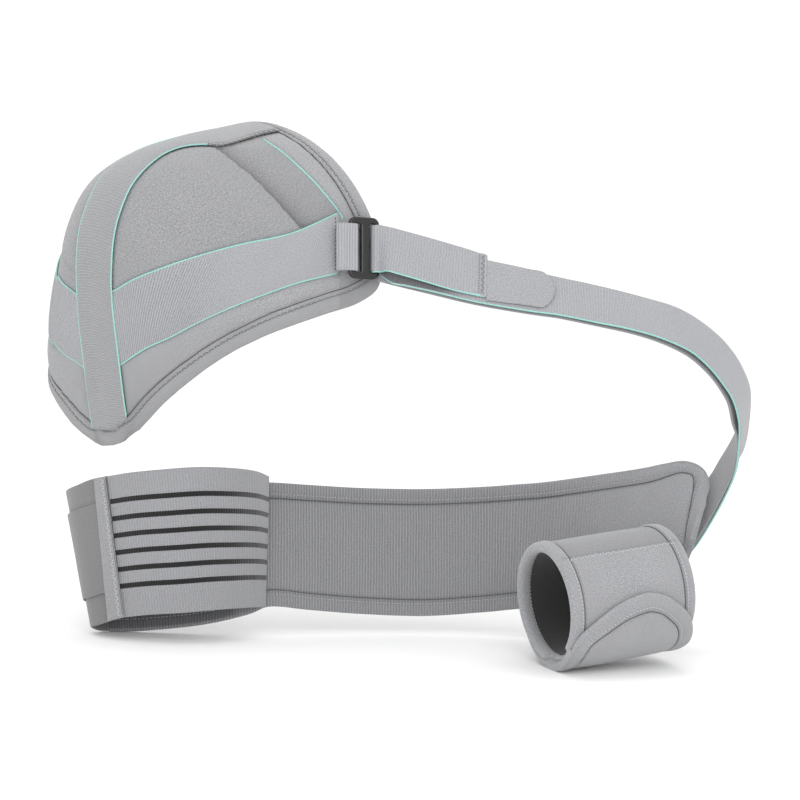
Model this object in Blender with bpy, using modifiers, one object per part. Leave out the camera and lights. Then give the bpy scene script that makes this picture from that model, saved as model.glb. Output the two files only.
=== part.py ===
"""Shoulder brace: a padded shoulder cup, a chest strap through a slide ring, a body belt with an
elastic arm loop, and a wrist cuff that grips the belt.

Frame: metres, +Z up, +X across the front, +Y away from the front. The origin is on the cup's crown,
where it sits on the shoulder.

The tables below give outlines as they are drawn in the front elevation: u to the right and v down, in
drawing units of UNIT millimetres, with the depth y in millimetres. The elevation is drawn in
perspective from VIEW_DISTANCE, VIEW_TILT degrees above the level, so seen() sets a drawn point at its
depth.
"""

import math

import bmesh
import bpy
import numpy as np
from mathutils import Matrix, Vector
from mathutils.bvhtree import BVHTree

MM = 0.001
UNIT = 0.81            # millimetres in one unit of the front elevation
VIEW_DISTANCE = 1700.0
VIEW_TILT = 4.0
CENTRE_UV = (400.0, 400.0)   # middle of the elevation
SEAT_UV = (185.0, 145.0)     # the seat (origin) in the elevation

CUP_YAW = 45.0         # the cup's arm-to-neck line, turned from +X towards +Y
CUP_PITCH = 17.0       # the cup's top, tipped towards the front
CUP_WALL = 4.0         # padded fabric
BAND_WALL = 1.2        # ribbed bands sewn on the cup
BAND_GAP = 0.5
ARCH_HALF = 18.5       # half the width of the band over the crown

STRAP_WALL = 2.0
STRAP_WIDTH = 38.0
LAYER_GAP = 0.6
WEB_WALL = 1.6
RING_WALL = 4.0
RING_SIZE = (27.0, 50.0)
RING_BARS = ((-13.5, -8.0), (-3.0, 4.8), (9.6, 13.5))   # left, middle and right bar, along its width
RING_END = 5.4         # end bars

BELT_WALL = 5.0
BELT_LEAN = 14.0       # the top edge lies this much deeper than the middle, the bottom edge this much less
LOOP_WALL = 2.2
PATCH_WALL = 1.2

CUFF_RADIUS = 46.3     # middle of the padded wall
CUFF_WALL = 5.0
FLAP_WALL = 4.4

COLOURS = {
    "shoulder_cup": (0.42, 0.42, 0.43, 1), "cup_arch_band": (0.40, 0.41, 0.42, 1),
    "cup_side_band_front": (0.46, 0.46, 0.48, 1), "cup_side_band_back": (0.46, 0.46, 0.48, 1),
    "webbing_loop": (0.55, 0.55, 0.56, 1), "slide_ring": (0.01, 0.01, 0.01, 1),
    "chest_strap": (0.45, 0.45, 0.47, 1), "strap_backing": (0.40, 0.40, 0.42, 1),
    "hook_tab": (0.46, 0.46, 0.49, 1), "rear_hook_tab": (0.40, 0.40, 0.42, 1),
    "body_belt": (0.27, 0.27, 0.28, 1), "loop_side_panel": (0.34, 0.34, 0.35, 1),
    "loop_patch": (0.35, 0.35, 0.36, 1), "arm_loop_elastic": (0.36, 0.36, 0.38, 1),
    "wrist_cuff": (0.40, 0.40, 0.41, 1), "cuff_flap": (0.42, 0.42, 0.44, 1),
}

# ---------------------------------------------------------------- front elevation

TILT = math.radians(VIEW_TILT)
LOOK = np.array([0, math.cos(TILT), -math.sin(TILT)])
UP = np.array([0, math.sin(TILT), math.cos(TILT)])
RIGHT = np.array([1.0, 0, 0])
MIDDLE = np.array([(CENTRE_UV[0] - SEAT_UV[0]) * UNIT, 0, (SEAT_UV[1] - CENTRE_UV[1]) * UNIT])
EYE = MIDDLE - VIEW_DISTANCE * LOOK


def sight(u, v):
    d = LOOK * VIEW_DISTANCE / UNIT + RIGHT * (u - CENTRE_UV[0]) - UP * (v - CENTRE_UV[1])
    return d / np.linalg.norm(d)


def seen(u, v, y):
    """The point at depth y that is drawn at (u, v)."""
    d = sight(u, v)
    return EYE + d * (y - EYE[1]) / d[1]


def smooth(rows, where):
    """Reads a smooth curve through the rows of a table at the given row numbers."""
    p = np.array(rows, float)
    slope = np.gradient(p, axis=0)
    out = []
    for x in where:
        i = min(int(x), len(p) - 2)
        t = x - i
        out.append((2 * t**3 - 3 * t**2 + 1) * p[i] + (t**3 - 2 * t**2 + t) * slope[i]
                   + (3 * t**2 - 2 * t**3) * p[i + 1] + (t**3 - t**2) * slope[i + 1])
    return np.array(out)


def even(points, count):
    """The same line with evenly spaced points."""
    p = np.array(points, float)
    along = np.concatenate([[0], np.cumsum(np.linalg.norm(np.diff(p, axis=0), axis=1))])
    at = np.linspace(0, along[-1], count)
    return np.stack([np.interp(at, along, p[:, k]) for k in range(p.shape[1])], axis=1)


def through(rows, count):
    """A smooth curve through the rows, as evenly spaced points."""
    return even(smooth(rows, np.linspace(0, len(rows) - 1, 12 * len(rows))), count)


# ---------------------------------------------------------------- making objects

def material(name):
    m = bpy.data.materials.new(name)
    m.use_nodes = True
    b = m.node_tree.nodes["Principled BSDF"]
    b.inputs["Base Color"].default_value = COLOURS[name]
    b.inputs["Roughness"].default_value = 0.35 if name == "slide_ring" else 0.9
    b.inputs["Metallic"].default_value = 0.0
    m.diffuse_color = COLOURS[name]
    return m


def sheet(name, grid, wall, offset=0.0, closed=False):
    """A wall of even thickness whose middle (offset 0) or one face (offset 1 or -1) is the grid."""
    grid = np.array(grid, float)
    rows, cols = grid.shape[:2]
    bm = bmesh.new()
    bmesh.ops.create_grid(bm, x_segments=cols - 1, y_segments=rows - 1, size=1.0)
    for vert in bm.verts:
        i = round((vert.co.y + 1) / 2 * (rows - 1))
        j = round((vert.co.x + 1) / 2 * (cols - 1))
        vert.co = Vector(grid[i, j] * MM)
    if closed:
        bmesh.ops.remove_doubles(bm, verts=bm.verts, dist=0.00001)
    mesh = bpy.data.meshes.new(name)
    bm.to_mesh(mesh)
    bm.free()
    ob = bpy.data.objects.new(name, mesh)
    brace.objects.link(ob)
    mesh.materials.append(material(name))
    mesh.shade_smooth()
    wall_mod = ob.modifiers.new("wall", "SOLIDIFY")
    wall_mod.thickness = wall * MM
    wall_mod.offset = offset
    wall_mod.use_even_offset = True
    return ob


# ---------------------------------------------------------------- shoulder cup

CP, SP = math.cos(math.radians(CUP_PITCH)), math.sin(math.radians(CUP_PITCH))
CY, SY = math.cos(math.radians(CUP_YAW)), math.sin(math.radians(CUP_YAW))
NECKWARD = np.array([CY, SY * CP, SY * SP])       # along the shoulder, arm to neck
FRONTWARD = np.array([SY, -CY * CP, -CY * SP])    # across it, towards the shown half
CUP_UP = np.array([0, -SP, CP])

# The band's middle line over the crown, from the lowest point on the arm to the neck edge: (u, v)
CROWN = [(110, 445), (102.5, 372), (97, 300), (99, 235), (116, 184), (150, 156), (195, 140), (237, 131), (275, 124)]
# The edge of the shown half beside each of those: (u, v, distance b from the middle plane in mm)
EDGE = [(140, 427, 25), (180, 390, 58), (222, 359, 82), (262, 338, 100), (298, 324, 112), (330, 313, 120),
        (357, 304, 126), (377, 290, 129), (384, 266, 128)]
# How each section arrives at that edge, in cup axes (neckward, outward, up), and how full it is at each end
ARRIVAL = [(0.45, 0.75, 0.45, 1.0, 1.0), (0.75, 0.62, -0.2, 1.1, 0.9), (0.8, 0.45, -0.4, 1.2, 0.9),
           (0.7, 0.4, -0.6, 1.2, 1.0), (0.5, 0.35, -0.8, 1.2, 1.0), (0.3, 0.3, -0.9, 1.15, 1.0),
           (0.15, 0.3, -0.94, 1.15, 1.05), (0.05, 0.3, -0.95, 1.15, 1.1), (0.0, 0.25, -0.97, 1.2, 1.2)]
# The edge of the hidden half, in cup axes (neckward, outward, up) in mm, and how its sections arrive there
BACK_EDGE = [(-82, -28, -239), (-85, -62, -228), (-80, -90, -210), (-48, -114, -185), (-8, -124, -160), (32, -128, -145),
             (64, -130, -134), (88, -130, -120), (100, -128, -97)]
BACK_ARRIVAL = [(0.1, -0.95, 0.3, 1.0, 1.0), (0.15, -0.9, -0.3, 1.1, 0.9), (0.45, -0.5, -0.75, 1.2, 0.9),
                (0.45, -0.4, -0.8, 1.15, 1.0), (0.4, -0.3, -0.85, 1.1, 1.0), (0.3, -0.3, -0.9, 1.05, 1.0),
                (0.15, -0.3, -0.94, 1.0, 1.0), (0.05, -0.3, -0.95, 1.0, 1.0), (0.0, -0.3, -0.95, 1.1, 1.1)]


def in_cup(a, b, z):
    return a * NECKWARD + b * FRONTWARD + z * CUP_UP


def drawn_on_plane(u, v, b):
    """Cup coordinates of the point drawn at (u, v), b to the shown side of the middle plane."""
    d = sight(u, v)
    p = EYE + d * (b - EYE @ FRONTWARD) / (d @ FRONTWARD)
    return np.array([p @ NECKWARD, b, p @ CUP_UP])


crown = np.array([drawn_on_plane(u, v, 0.0) for u, v in CROWN])
edge = np.array([drawn_on_plane(u, v, b) for u, v, b in EDGE])
halves = {1: (edge, ARRIVAL), -1: (BACK_EDGE, BACK_ARRIVAL)}


def cup_section(row, side, samples=60):
    """One section of the shown (1) or hidden (-1) half, from the middle plane to the edge, in cup coordinates."""
    c, e, a = smooth(crown, [row])[0], smooth(halves[side][0], [row])[0], smooth(halves[side][1], [row])[0]
    c = np.array([c[0], 0.0, c[2]])
    size = np.linalg.norm(e - c)
    start = np.array([0.0, side, 0.0]) * size * a[3]
    finish = a[:3] / np.linalg.norm(a[:3]) * size * a[4]
    t = np.linspace(0, 1, samples)[:, None]
    return ((2 * t**3 - 3 * t**2 + 1) * c + (t**3 - 2 * t**2 + t) * start
            + (3 * t**2 - 2 * t**3) * e + (t**3 - t**2) * finish)


def cup_row(row, side, columns):
    """Points of a section: three columns under the crown band, and the rest evenly to the edge."""
    p = cup_section(row, side)
    along = np.concatenate([[0], np.cumsum(np.linalg.norm(np.diff(p, axis=0), axis=1))])
    band = min(ARCH_HALF, 0.55 * along[-1])
    at = np.concatenate([[0, band / 2], np.linspace(band, along[-1], columns - 2)])
    return np.stack([np.interp(at, along, p[:, k]) for k in range(3)], axis=1)


def cup_grid(rows, columns):
    """The whole outer face, from the hidden half's edge to the shown half's."""
    grid = []
    for row in rows:
        both = np.concatenate([cup_row(row, -1, columns)[:0:-1], cup_row(row, 1, columns)])
        grid.append([in_cup(*p) for p in both])
    return np.array(grid)


def normals(grid):
    """Unit normals of a grid."""
    n = np.cross(np.gradient(grid, axis=0), np.gradient(grid, axis=1))
    return n / np.linalg.norm(n, axis=2, keepdims=True)


def tree_of(grid):
    """The grid as a surface that lines of sight can meet."""
    rows, cols = grid.shape[:2]
    faces = [(i * cols + j, i * cols + j + 1, (i + 1) * cols + j + 1, (i + 1) * cols + j)
             for i in range(rows - 1) for j in range(cols - 1)]
    return BVHTree.FromPolygons([Vector(p) for p in grid.reshape(-1, 3)], faces)


def drawn_on(tree, u, v):
    """Where the line of sight through (u, v) meets a surface, and its normal there, facing the front."""
    d = sight(u, v)
    place, normal, _, _ = tree.ray_cast(Vector(EYE), Vector(d))
    if place is None:
        place, normal, _, _ = tree.find_nearest(Vector(seen(u, v, 0)))
    place, normal = np.array(place), np.array(normal)
    return place, normal if normal @ d < 0 else -normal


# The side band's piped edges, from the crown band to the ring: (u, v upper, u, v lower)
SIDE_BAND = [(118, 288.5, 125, 362), (136, 278, 146, 348), (172, 264, 172, 336), (207, 253, 200, 321), (242, 244, 236, 305),
             (278, 237, 270, 292), (301, 230, 300, 282), (338, 213, 338, 273)]

# How much lower the hidden half's band lies, in rows of the fine grid: its upper edge, its lower edge
BACK_DROP = [(2.6, 1.4), (4.5, 0.4), (4.5, 0), (3.4, 0), (2.2, 0), (1.2, 0), (0.5, 0), (0, 0)]

# ---------------------------------------------------------------- ring and strap

RING_UV = (359.0, 249.5)     # the place on the cup behind its middle

# The chest strap's run from the ring to the far turn and behind the belt.
# Lower (piped) edge u, v, y and upper edge u, v, y
REAR_RUN = [(392, 283, -8, 394, 236, 3), (430, 291, -14, 432, 246, 0), (477, 302, -19, 480, 258, -2),
            (530, 311, -22, 530, 271, -2), (560, 315, -22, 558, 277, 0), (600, 323, -21, 598, 286, 2),
            (630, 329, -18, 642, 297, 6), (661, 338, -12, 680, 309, 14), (690, 351, -3, 712, 330, 26),
            (709, 367, 6, 732, 351, 38), (723, 384, 15, 744, 372, 49), (733, 400, 24, 750, 392, 59),
            (739, 422, 34, 749, 419, 71), (739, 445, 45, 743, 449, 82), (736, 470, 55, 729, 468, 90),
            (727, 493, 63, 712, 483, 94), (709, 526, 70, 682, 508, 94), (690, 553, 73.5, 660, 528, 92.5),
            (664, 573, 78, 640, 540, 92), (632, 583, 85.5, 618, 545, 97), (602, 588, 95, 596, 549, 105)]
# The strap's second layer, on the inside of the turn: lower edge u, v, y and upper edge u, v, y
INNER_RUN = [(397, 287.5, -4, 399, 240.5, 7), (430, 294.5, -10, 432, 249, 4), (477, 305.5, -15, 480, 261.5, 2), (530, 314.5, -18, 530, 274.5, 2),
             (560, 318.7, -18, 558, 280.5, 4), (600, 327, -17, 598, 289.5, 6), (630, 333.5, -14, 641, 300.5, 10),
             (660, 343, -8, 677, 313, 18), (687, 356, 1, 708, 334, 30), (706, 372, 10, 726, 355, 42), (719, 388, 19, 738, 377, 53),
             (729, 404, 27.6, 741, 395, 63), (735.5, 424, 37.6, 737, 420, 74), (736, 446, 46.8, 728, 440, 82), (732.5, 470, 55, 719, 458, 87),
             (724, 493, 61, 708, 479, 90), (706, 526, 66.5, 682, 506, 89.5), (687, 553, 69.5, 660, 527, 88), (662, 572, 74, 640, 539, 88),
             (632, 582, 81.7, 618, 544, 93.2)]
# Hook tab that fixes the strap's far end on the back of the belt: lower edge u, v, y and upper edge u, v, y
REAR_TAB = [(628.5, 583, 82.5, 614.5, 545, 94), (602, 587, 91.2, 596, 549, 101), (578, 590, 98.5, 573, 552, 109.5)]
# The strap's end folded back over the front: from its sewn end towards the ring: u, v lower, u, v upper
FOLD_BACK = [(485.5, 297, 486, 255), (455, 290.5, 458, 246), (418, 279.5, 423, 236), (388, 271, 392, 227.5)]
# Hook tab in front of the strap: u, v lower, v upper
HOOK_TAB = [(487, 300, 260), (510, 303, 265), (530, 305.5, 269.3), (543, 307, 272), (551, 301, 280), (555, 293, 287)]

# ---------------------------------------------------------------- belt and arm loop

# Body belt: upper edge u, v; lower edge u, v; depth of the middle
BELT = [(93, 490, 110, 631, 69), (133, 489, 140, 630, 70), (183, 487, 186, 626, 71), (216, 486, 218, 621, 73),
        (249, 484.5, 250, 613, 77), (271, 483.5, 271, 605.5, 82), (310, 486, 310, 609, 92), (362, 489, 362, 613, 104),
        (424, 490, 424, 615, 115), (480, 488, 480, 611.5, 118), (515, 485.5, 512, 608.5, 116), (546, 483, 540, 606, 110),
        (590, 477, 580, 604, 101), (638, 470, 622, 600, 87), (666, 464.5, 645, 596, 77), (684, 462, 660, 590, 69),
        (698, 466, 672, 581, 63), (706, 474, 682, 567, 60), (708, 485, 691, 545, 58)]
# Side panel of the arm loop, from the belt's end round to the front seam: upper edge u, v, y; lower edge u, v, y
LOOP_PANEL = [(92, 490, 83, 109, 631, 55), (78, 492, 80, 99, 630.5, 51), (67.5, 491.5, 70, 92.5, 628, 42), (69, 488.5, 55, 92.5, 626.5, 33),
              (77, 485, 41, 97, 625.5, 26), (91, 479.5, 29, 106, 622.5, 19), (107, 476, 19, 123, 617.5, 11)]
# Striped elastic front, from that seam to where it is sewn on the belt
LOOP_FRONT = [(108, 476, 18.3, 124, 617.4, 10.6), (133, 472, 8, 149, 615, 5), (166, 469, 1, 183, 613, 4), (199, 467, 1, 211, 610.5, 11),
              (232, 468, 15, 236, 608.5, 25), (256, 471, 45, 254, 607.3, 43), (268.5, 476, 80, 264.5, 606.8, 59)]

# ---------------------------------------------------------------- wrist cuff

# Centres of the cuff's open ends: u, v, y
CUFF_ENDS = [(543.5, 603.8, -36.5), (665.5, 582.8, 9.5)]
# Rounded edge of the flap on the cuff, from the open end round its tip: u, v
FLAP_START = 38.0      # degrees up the front, where that edge leaves the open end
FLAP_EDGE = [(579, 639.5), (598, 621.5), (619, 605.5), (635, 597.5), (651, 593.5), (668, 597), (681, 606), (688.5, 616),
             (691, 628), (688, 640)]
FLAP_ROOT = -8.0       # degrees behind the cuff's underside where the flap leaves the roll


# ================================================================ build

for ob in list(bpy.data.objects):
    bpy.data.objects.remove(ob, do_unlink=True)
brace = bpy.data.collections.new("shoulder_brace")
bpy.context.scene.collection.children.link(brace)

# shoulder cup: one padded shell
outer = cup_grid(np.linspace(0, 8, 21), 13)
sheet("shoulder_cup", outer, CUP_WALL, offset=-1.0)

# crown band
fine = cup_grid(np.linspace(0, 8, 65), 27)
band_rows = np.linspace(0.42, 7.65, 26)
band_grid = cup_grid(band_rows, 13)
mid = band_grid.shape[1] // 2
band_normals = normals(band_grid)
up_sign = 1.0 if band_normals[18, mid] @ CUP_UP > 0 else -1.0
lift = BAND_GAP + BAND_WALL / 2
band = band_grid[:, mid - 2:mid + 3] + up_sign * band_normals[:, mid - 2:mid + 3] * lift
sheet("cup_arch_band", band, BAND_WALL)

# side bands: drawn on the cup's front half, and mirrored to the other
cup_tree = tree_of(fine)


def on_cup(u, v, lift):
    place, normal = drawn_on(cup_tree, u, v)
    return place + normal * lift


fine_normals = normals(fine)
if (fine[32, 40] - in_cup(20, 0, -90)) @ fine_normals[32, 40] < 0:
    fine_normals = -fine_normals


def grid_place(p):
    """Row and column of the fine grid at a point on it."""
    i, j = np.unravel_index(np.argmin(np.linalg.norm(fine - p, axis=2)), fine.shape[:2])
    i, j = min(max(i, 1), fine.shape[0] - 2), min(max(j, 1), fine.shape[1] - 2)
    steps = np.stack([(fine[i + 1, j] - fine[i - 1, j]) / 2, (fine[i, j + 1] - fine[i, j - 1]) / 2], axis=1)
    return np.array([i, j]) + np.linalg.lstsq(steps, p - fine[i, j], rcond=None)[0]


def on_grid(i, j, lift):
    """Point over the fine grid at a row and column."""
    i0, j0 = min(int(i), fine.shape[0] - 2), min(int(j), fine.shape[1] - 2)
    a, b = i - i0, j - j0
    mix = [(1 - a) * (1 - b), (1 - a) * b, a * (1 - b), a * b]
    at = [(i0, j0), (i0, j0 + 1), (i0 + 1, j0), (i0 + 1, j0 + 1)]
    n = sum(m * fine_normals[k] for m, k in zip(mix, at))
    return sum(m * fine[k] for m, k in zip(mix, at)) + n / np.linalg.norm(n) * lift


side = []
for u1, v1, u2, v2 in smooth(SIDE_BAND, np.linspace(0, len(SIDE_BAND) - 1, 20)):
    side.append([on_cup(u1 + (u2 - u1) * f, v1 + (v2 - v1) * f, lift) for f in np.linspace(0, 1, 6)])
side = np.array(side)
sheet("cup_side_band_front", side, BAND_WALL)
last = fine.shape[1] - 1
edges = []
for (u1, v1, u2, v2), (low1, low2) in zip(SIDE_BAND, BACK_DROP):
    (i1, j1), (i2, j2) = grid_place(on_cup(u1, v1, 0)), grid_place(on_cup(u2, v2, 0))
    edges.append([i1 - low1, j1, i2 - low2, j2])
back = []
for i1, j1, i2, j2 in smooth(edges, np.linspace(0, len(edges) - 1, 20)):
    back.append([on_grid(i1 + (i2 - i1) * f, last - (j1 + (j2 - j1) * f), lift) for f in np.linspace(0, 1, 6)])
sheet("cup_side_band_back", back, BAND_WALL)

# ring frame: on the cup's front corner, facing the front
seat, face = drawn_on(cup_tree, *RING_UV)
high, _ = drawn_on(cup_tree, RING_UV[0], RING_UV[1] - 24)
low, _ = drawn_on(cup_tree, RING_UV[0], RING_UV[1] + 24)
RING_Y = (high - low) / np.linalg.norm(high - low)
across = np.cross(RING_Y, face)
RING_X = across / np.linalg.norm(across)
if RING_X[0] < 0:
    RING_X = -RING_X
RING_Z = np.cross(RING_X, RING_Y)
RING_LIFT = BAND_GAP + BAND_WALL + LAYER_GAP + WEB_WALL + LAYER_GAP + RING_WALL / 2 + 2.6
RING_AT = seat + RING_Z * RING_LIFT


def by_ring(x, y, z):
    return RING_AT + RING_X * x + RING_Y * y + RING_Z * z


print("ring at", RING_AT.round(1), "x", RING_X.round(3), "y", RING_Y.round(3), "z", RING_Z.round(3))

# slide ring: a flat plate with two slots
outline = bpy.data.curves.new("slide_ring", "CURVE")
outline.dimensions = "2D"
outline.fill_mode = "BOTH"
outline.extrude = (RING_WALL / 2 - 0.7) * MM
outline.bevel_depth = 0.7 * MM
outline.bevel_resolution = 1
outline.offset = -0.7 * MM


def loop(x1, y1, x2, y2, r, steps=4):
    """A rounded rectangle as one closed spline."""
    pts = []
    for cx, cy, start in ((x2 - r, y2 - r, 0), (x1 + r, y2 - r, 90), (x1 + r, y1 + r, 180), (x2 - r, y1 + r, 270)):
        for k in range(steps + 1):
            a = math.radians(start + 90 * k / steps)
            pts.append((cx + r * math.cos(a), cy + r * math.sin(a)))
    s = outline.splines.new("POLY")
    s.points.add(len(pts) - 1)
    for p, (x, y) in zip(s.points, pts):
        p.co = (x * MM, y * MM, 0, 1)
    s.use_cyclic_u = True


half_w, half_h = RING_SIZE[0] / 2, RING_SIZE[1] / 2
loop(-half_w, -half_h, half_w, half_h, 5.0)
loop(RING_BARS[0][1], -half_h + RING_END, RING_BARS[1][0], half_h - RING_END, 1.2, 2)
loop(RING_BARS[1][1], -half_h + RING_END, RING_BARS[2][0], half_h - RING_END, 1.2, 2)
ring = bpy.data.objects.new("slide_ring", outline)
brace.objects.link(ring)
outline.materials.append(material("slide_ring"))
ring.matrix_world = Matrix([[*row, at * MM] for row, at in zip(np.stack([RING_X, RING_Y, RING_Z], axis=1), RING_AT)] + [[0, 0, 0, 1]])

# webbing loop: sewn to the side band, round the ring's left bar
web_z = RING_WALL / 2 + LAYER_GAP + 0.2 + WEB_WALL / 2
bar = RING_BARS[0]
web_path = [(-23.4, -web_z + 3.4), (-20.8, -web_z + 6.6), (bar[0] + 1, web_z), (bar[1] - 1.5, web_z)]
web_path += [(bar[1] - 0.7 + (LAYER_GAP + WEB_WALL / 2 + 1.0) * math.sin(a), web_z * math.cos(a)) for a in (0.7, 1.57, 2.44)]
web_path += [(bar[1] - 1.5, -web_z), (bar[0] + 1, -web_z), (-21.3, -web_z)]
web_half = 19.0
sheet("webbing_loop", [[by_ring(x, y, z) for y in np.linspace(-web_half, web_half, 3)] for x, z in web_path], WEB_WALL)

# chest strap: from its sewn end, over the ring's right bar, round it, and on to the far turn
bar = RING_BARS[2]
strap_z = RING_WALL / 2 + LAYER_GAP + 0.3 + STRAP_WALL / 2
rear = smooth(REAR_RUN, np.linspace(0, len(REAR_RUN) - 1, 3 * (len(REAR_RUN) - 1) + 1))
rear_low = np.array([seen(*r[:3]) for r in rear])
rear_up = np.array([seen(*r[3:]) for r in rear])


def run_depth(u, v):
    """Depth of the strap's front run where it is drawn at (u, v)."""
    rows = np.array(REAR_RUN)[:9]
    v_low, y_low = (np.interp(u, rows[:, 0], rows[:, k]) for k in (1, 2))
    v_up, y_up = (np.interp(u, rows[:, 3], rows[:, k]) for k in (4, 5))
    return y_low + (y_up - y_low) * (v_low - v) / (v_low - v_up)


front_layer = 3.2
low_line, up_line = [], []
for i, (u1, v1, u2, v2) in enumerate(smooth(FOLD_BACK, np.linspace(0, 3, 7))):
    rise = front_layer + 3.6 * (i / 6) ** 1.5
    low_line.append(seen(u1, v1, run_depth(u1, v1) - rise))
    up_line.append(seen(u2, v2, run_depth(u2, v2) - rise))
wrap = [(bar[1] - 0.5, strap_z)]
wrap += [(bar[0] + 1.2 - (LAYER_GAP + STRAP_WALL / 2 + 1.4) * math.sin(a), strap_z * math.cos(a)) for a in (0.0, 0.7, 1.57, 2.44, 3.14)]
wrap += [(bar[0] + 3.0, -strap_z), (bar[1] + 1.5, -strap_z - 0.3)]
for x, z in wrap:
    low_line.append(by_ring(x, -STRAP_WIDTH / 2, z))
    up_line.append(by_ring(x, STRAP_WIDTH / 2, z))
low_line += list(rear_low)
up_line += list(rear_up)
low_line, up_line = np.array(low_line), np.array(up_line)
sheet("chest_strap", [[lo + (up - lo) * f for f in (0, 0.5, 1)] for lo, up in zip(low_line, up_line)], STRAP_WALL)

# second layer of the strap, on the inside of the turn
inner = smooth(INNER_RUN, np.linspace(0, len(INNER_RUN) - 1, 3 * (len(INNER_RUN) - 1) + 1))
inner = [(seen(*r[:3]), seen(*r[3:])) for r in inner]
sheet("strap_backing", [[lo + (up - lo) * f for f in (0, 0.5, 1)] for lo, up in inner], STRAP_WALL)

# hook tabs
tab = []
for u, v1, v2 in smooth(HOOK_TAB, np.linspace(0, 5, 11)):
    tab.append([seen(u, v1 + (v2 - v1) * f, run_depth(u, v1 + (v2 - v1) * f) - front_layer) for f in (0, 0.5, 1)])
sheet("hook_tab", tab, 1.6)
rear_tab = [(seen(*r[:3]), seen(*r[3:])) for r in smooth(REAR_TAB, np.linspace(0, 2, 7))]
sheet("rear_hook_tab", [[lo + (up - lo) * f for f in (0, 0.5, 1)] for lo, up in rear_tab], 1.6)

# ---- body belt and arm loop
belt_rows = smooth(BELT, np.linspace(0, len(BELT) - 1, 55))
belt = []
for u1, v1, u2, v2, y in belt_rows:
    top, bottom = seen(u1, v1, y + BELT_LEAN), seen(u2, v2, y - BELT_LEAN)
    belt.append([bottom + (top - bottom) * f for f in np.linspace(0, 1, 5)])
sheet("body_belt", belt, BELT_WALL)


def wall_between(rows, count, across_count):
    out = []
    for u1, v1, y1, u2, v2, y2 in smooth(rows, np.linspace(0, len(rows) - 1, count)):
        top, bottom = seen(u1, v1, y1), seen(u2, v2, y2)
        out.append([bottom + (top - bottom) * f for f in np.linspace(0, 1, across_count)])
    return np.array(out)


panel = wall_between(LOOP_PANEL, 19, 4)
sheet("loop_side_panel", panel, LOOP_WALL)
front = wall_between(LOOP_FRONT, 25, 4)
sheet("arm_loop_elastic", front, LOOP_WALL)

# raised patch on the side panel
panel_fine = wall_between(LOOP_PANEL, 49, 25)
panel_normals = normals(panel_fine)
if panel_normals[44, 12] @ LOOK > 0:
    panel_normals = -panel_normals
patch_lift = LOOP_WALL / 2 + 0.4 + PATCH_WALL / 2
patch = (panel_fine + panel_normals * patch_lift)[14:45:2, 5:22:4]
sheet("loop_patch", patch, PATCH_WALL)

# ---- wrist cuff
end_a, end_b = (seen(*e) for e in CUFF_ENDS)
CUFF_AXIS = (end_b - end_a) / np.linalg.norm(end_b - end_a)
CUFF_LONG = np.linalg.norm(end_b - end_a)
CUFF_DOWN = -UP + (UP @ CUFF_AXIS) * CUFF_AXIS
CUFF_DOWN /= np.linalg.norm(CUFF_DOWN)
CUFF_FRONT = np.cross(CUFF_AXIS, CUFF_DOWN)
if CUFF_FRONT @ LOOK > 0:
    CUFF_FRONT = -CUFF_FRONT


def on_roll(x, angle, radius):
    """Point of the roll: x along it, the angle from its underside up the front."""
    a = math.radians(angle)
    return end_a + CUFF_AXIS * x + (CUFF_DOWN * math.cos(a) + CUFF_FRONT * math.sin(a)) * radius


print("cuff length", round(CUFF_LONG, 1))
roll = [[on_roll(x, a, CUFF_RADIUS) for a in np.linspace(0, 360, 31)] for x in np.linspace(0, CUFF_LONG, 6)]
sheet("wrist_cuff", roll, CUFF_WALL, closed=True)

flap_radius = CUFF_RADIUS + CUFF_WALL / 2 + LAYER_GAP + FLAP_WALL / 2
guide = np.array([[on_roll(x, a, flap_radius) for a in np.linspace(-90, 150, 61)] for x in np.linspace(-6, CUFF_LONG + 6, 25)])
guide_tree = tree_of(guide)


def roll_place(u, v):
    p, _ = drawn_on(guide_tree, u, v)
    x = (p - end_a) @ CUFF_AXIS
    return x, math.degrees(math.atan2((p - end_a) @ CUFF_FRONT, (p - end_a) @ CUFF_DOWN))


rim = np.array([(1.0, FLAP_START)] + [roll_place(u, v) for u, v in FLAP_EDGE])
rim[:, 0] = np.clip(rim[:, 0], 1.0, CUFF_LONG - 0.5)
rim = through(rim, 25)
flap = []
for k, (x, a) in enumerate(rim):
    root_x = 5.0 + (CUFF_LONG - 6.0) * k / 24
    flap.append([on_roll(x + (root_x - x) * f, a + (FLAP_ROOT - a) * f, flap_radius) for f in np.linspace(0, 1, 10)])
sheet("cuff_flap", flap, FLAP_WALL)
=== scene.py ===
"""Shoulder brace, the looks: padded panels, bands, piping, seams, webbing, ring, strap, belt, arm loop and cuff,
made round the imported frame. Metres, +Z up, +X across the front, +Y away from the front. Tables are in drawing units
of the front elevation (u right, v down, UNIT millimetres each) with depths in millimetres."""
import math

import bmesh
import bpy
import numpy as np
from mathutils import Matrix, Vector
from mathutils.bvhtree import BVHTree
from mathutils.kdtree import KDTree


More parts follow.
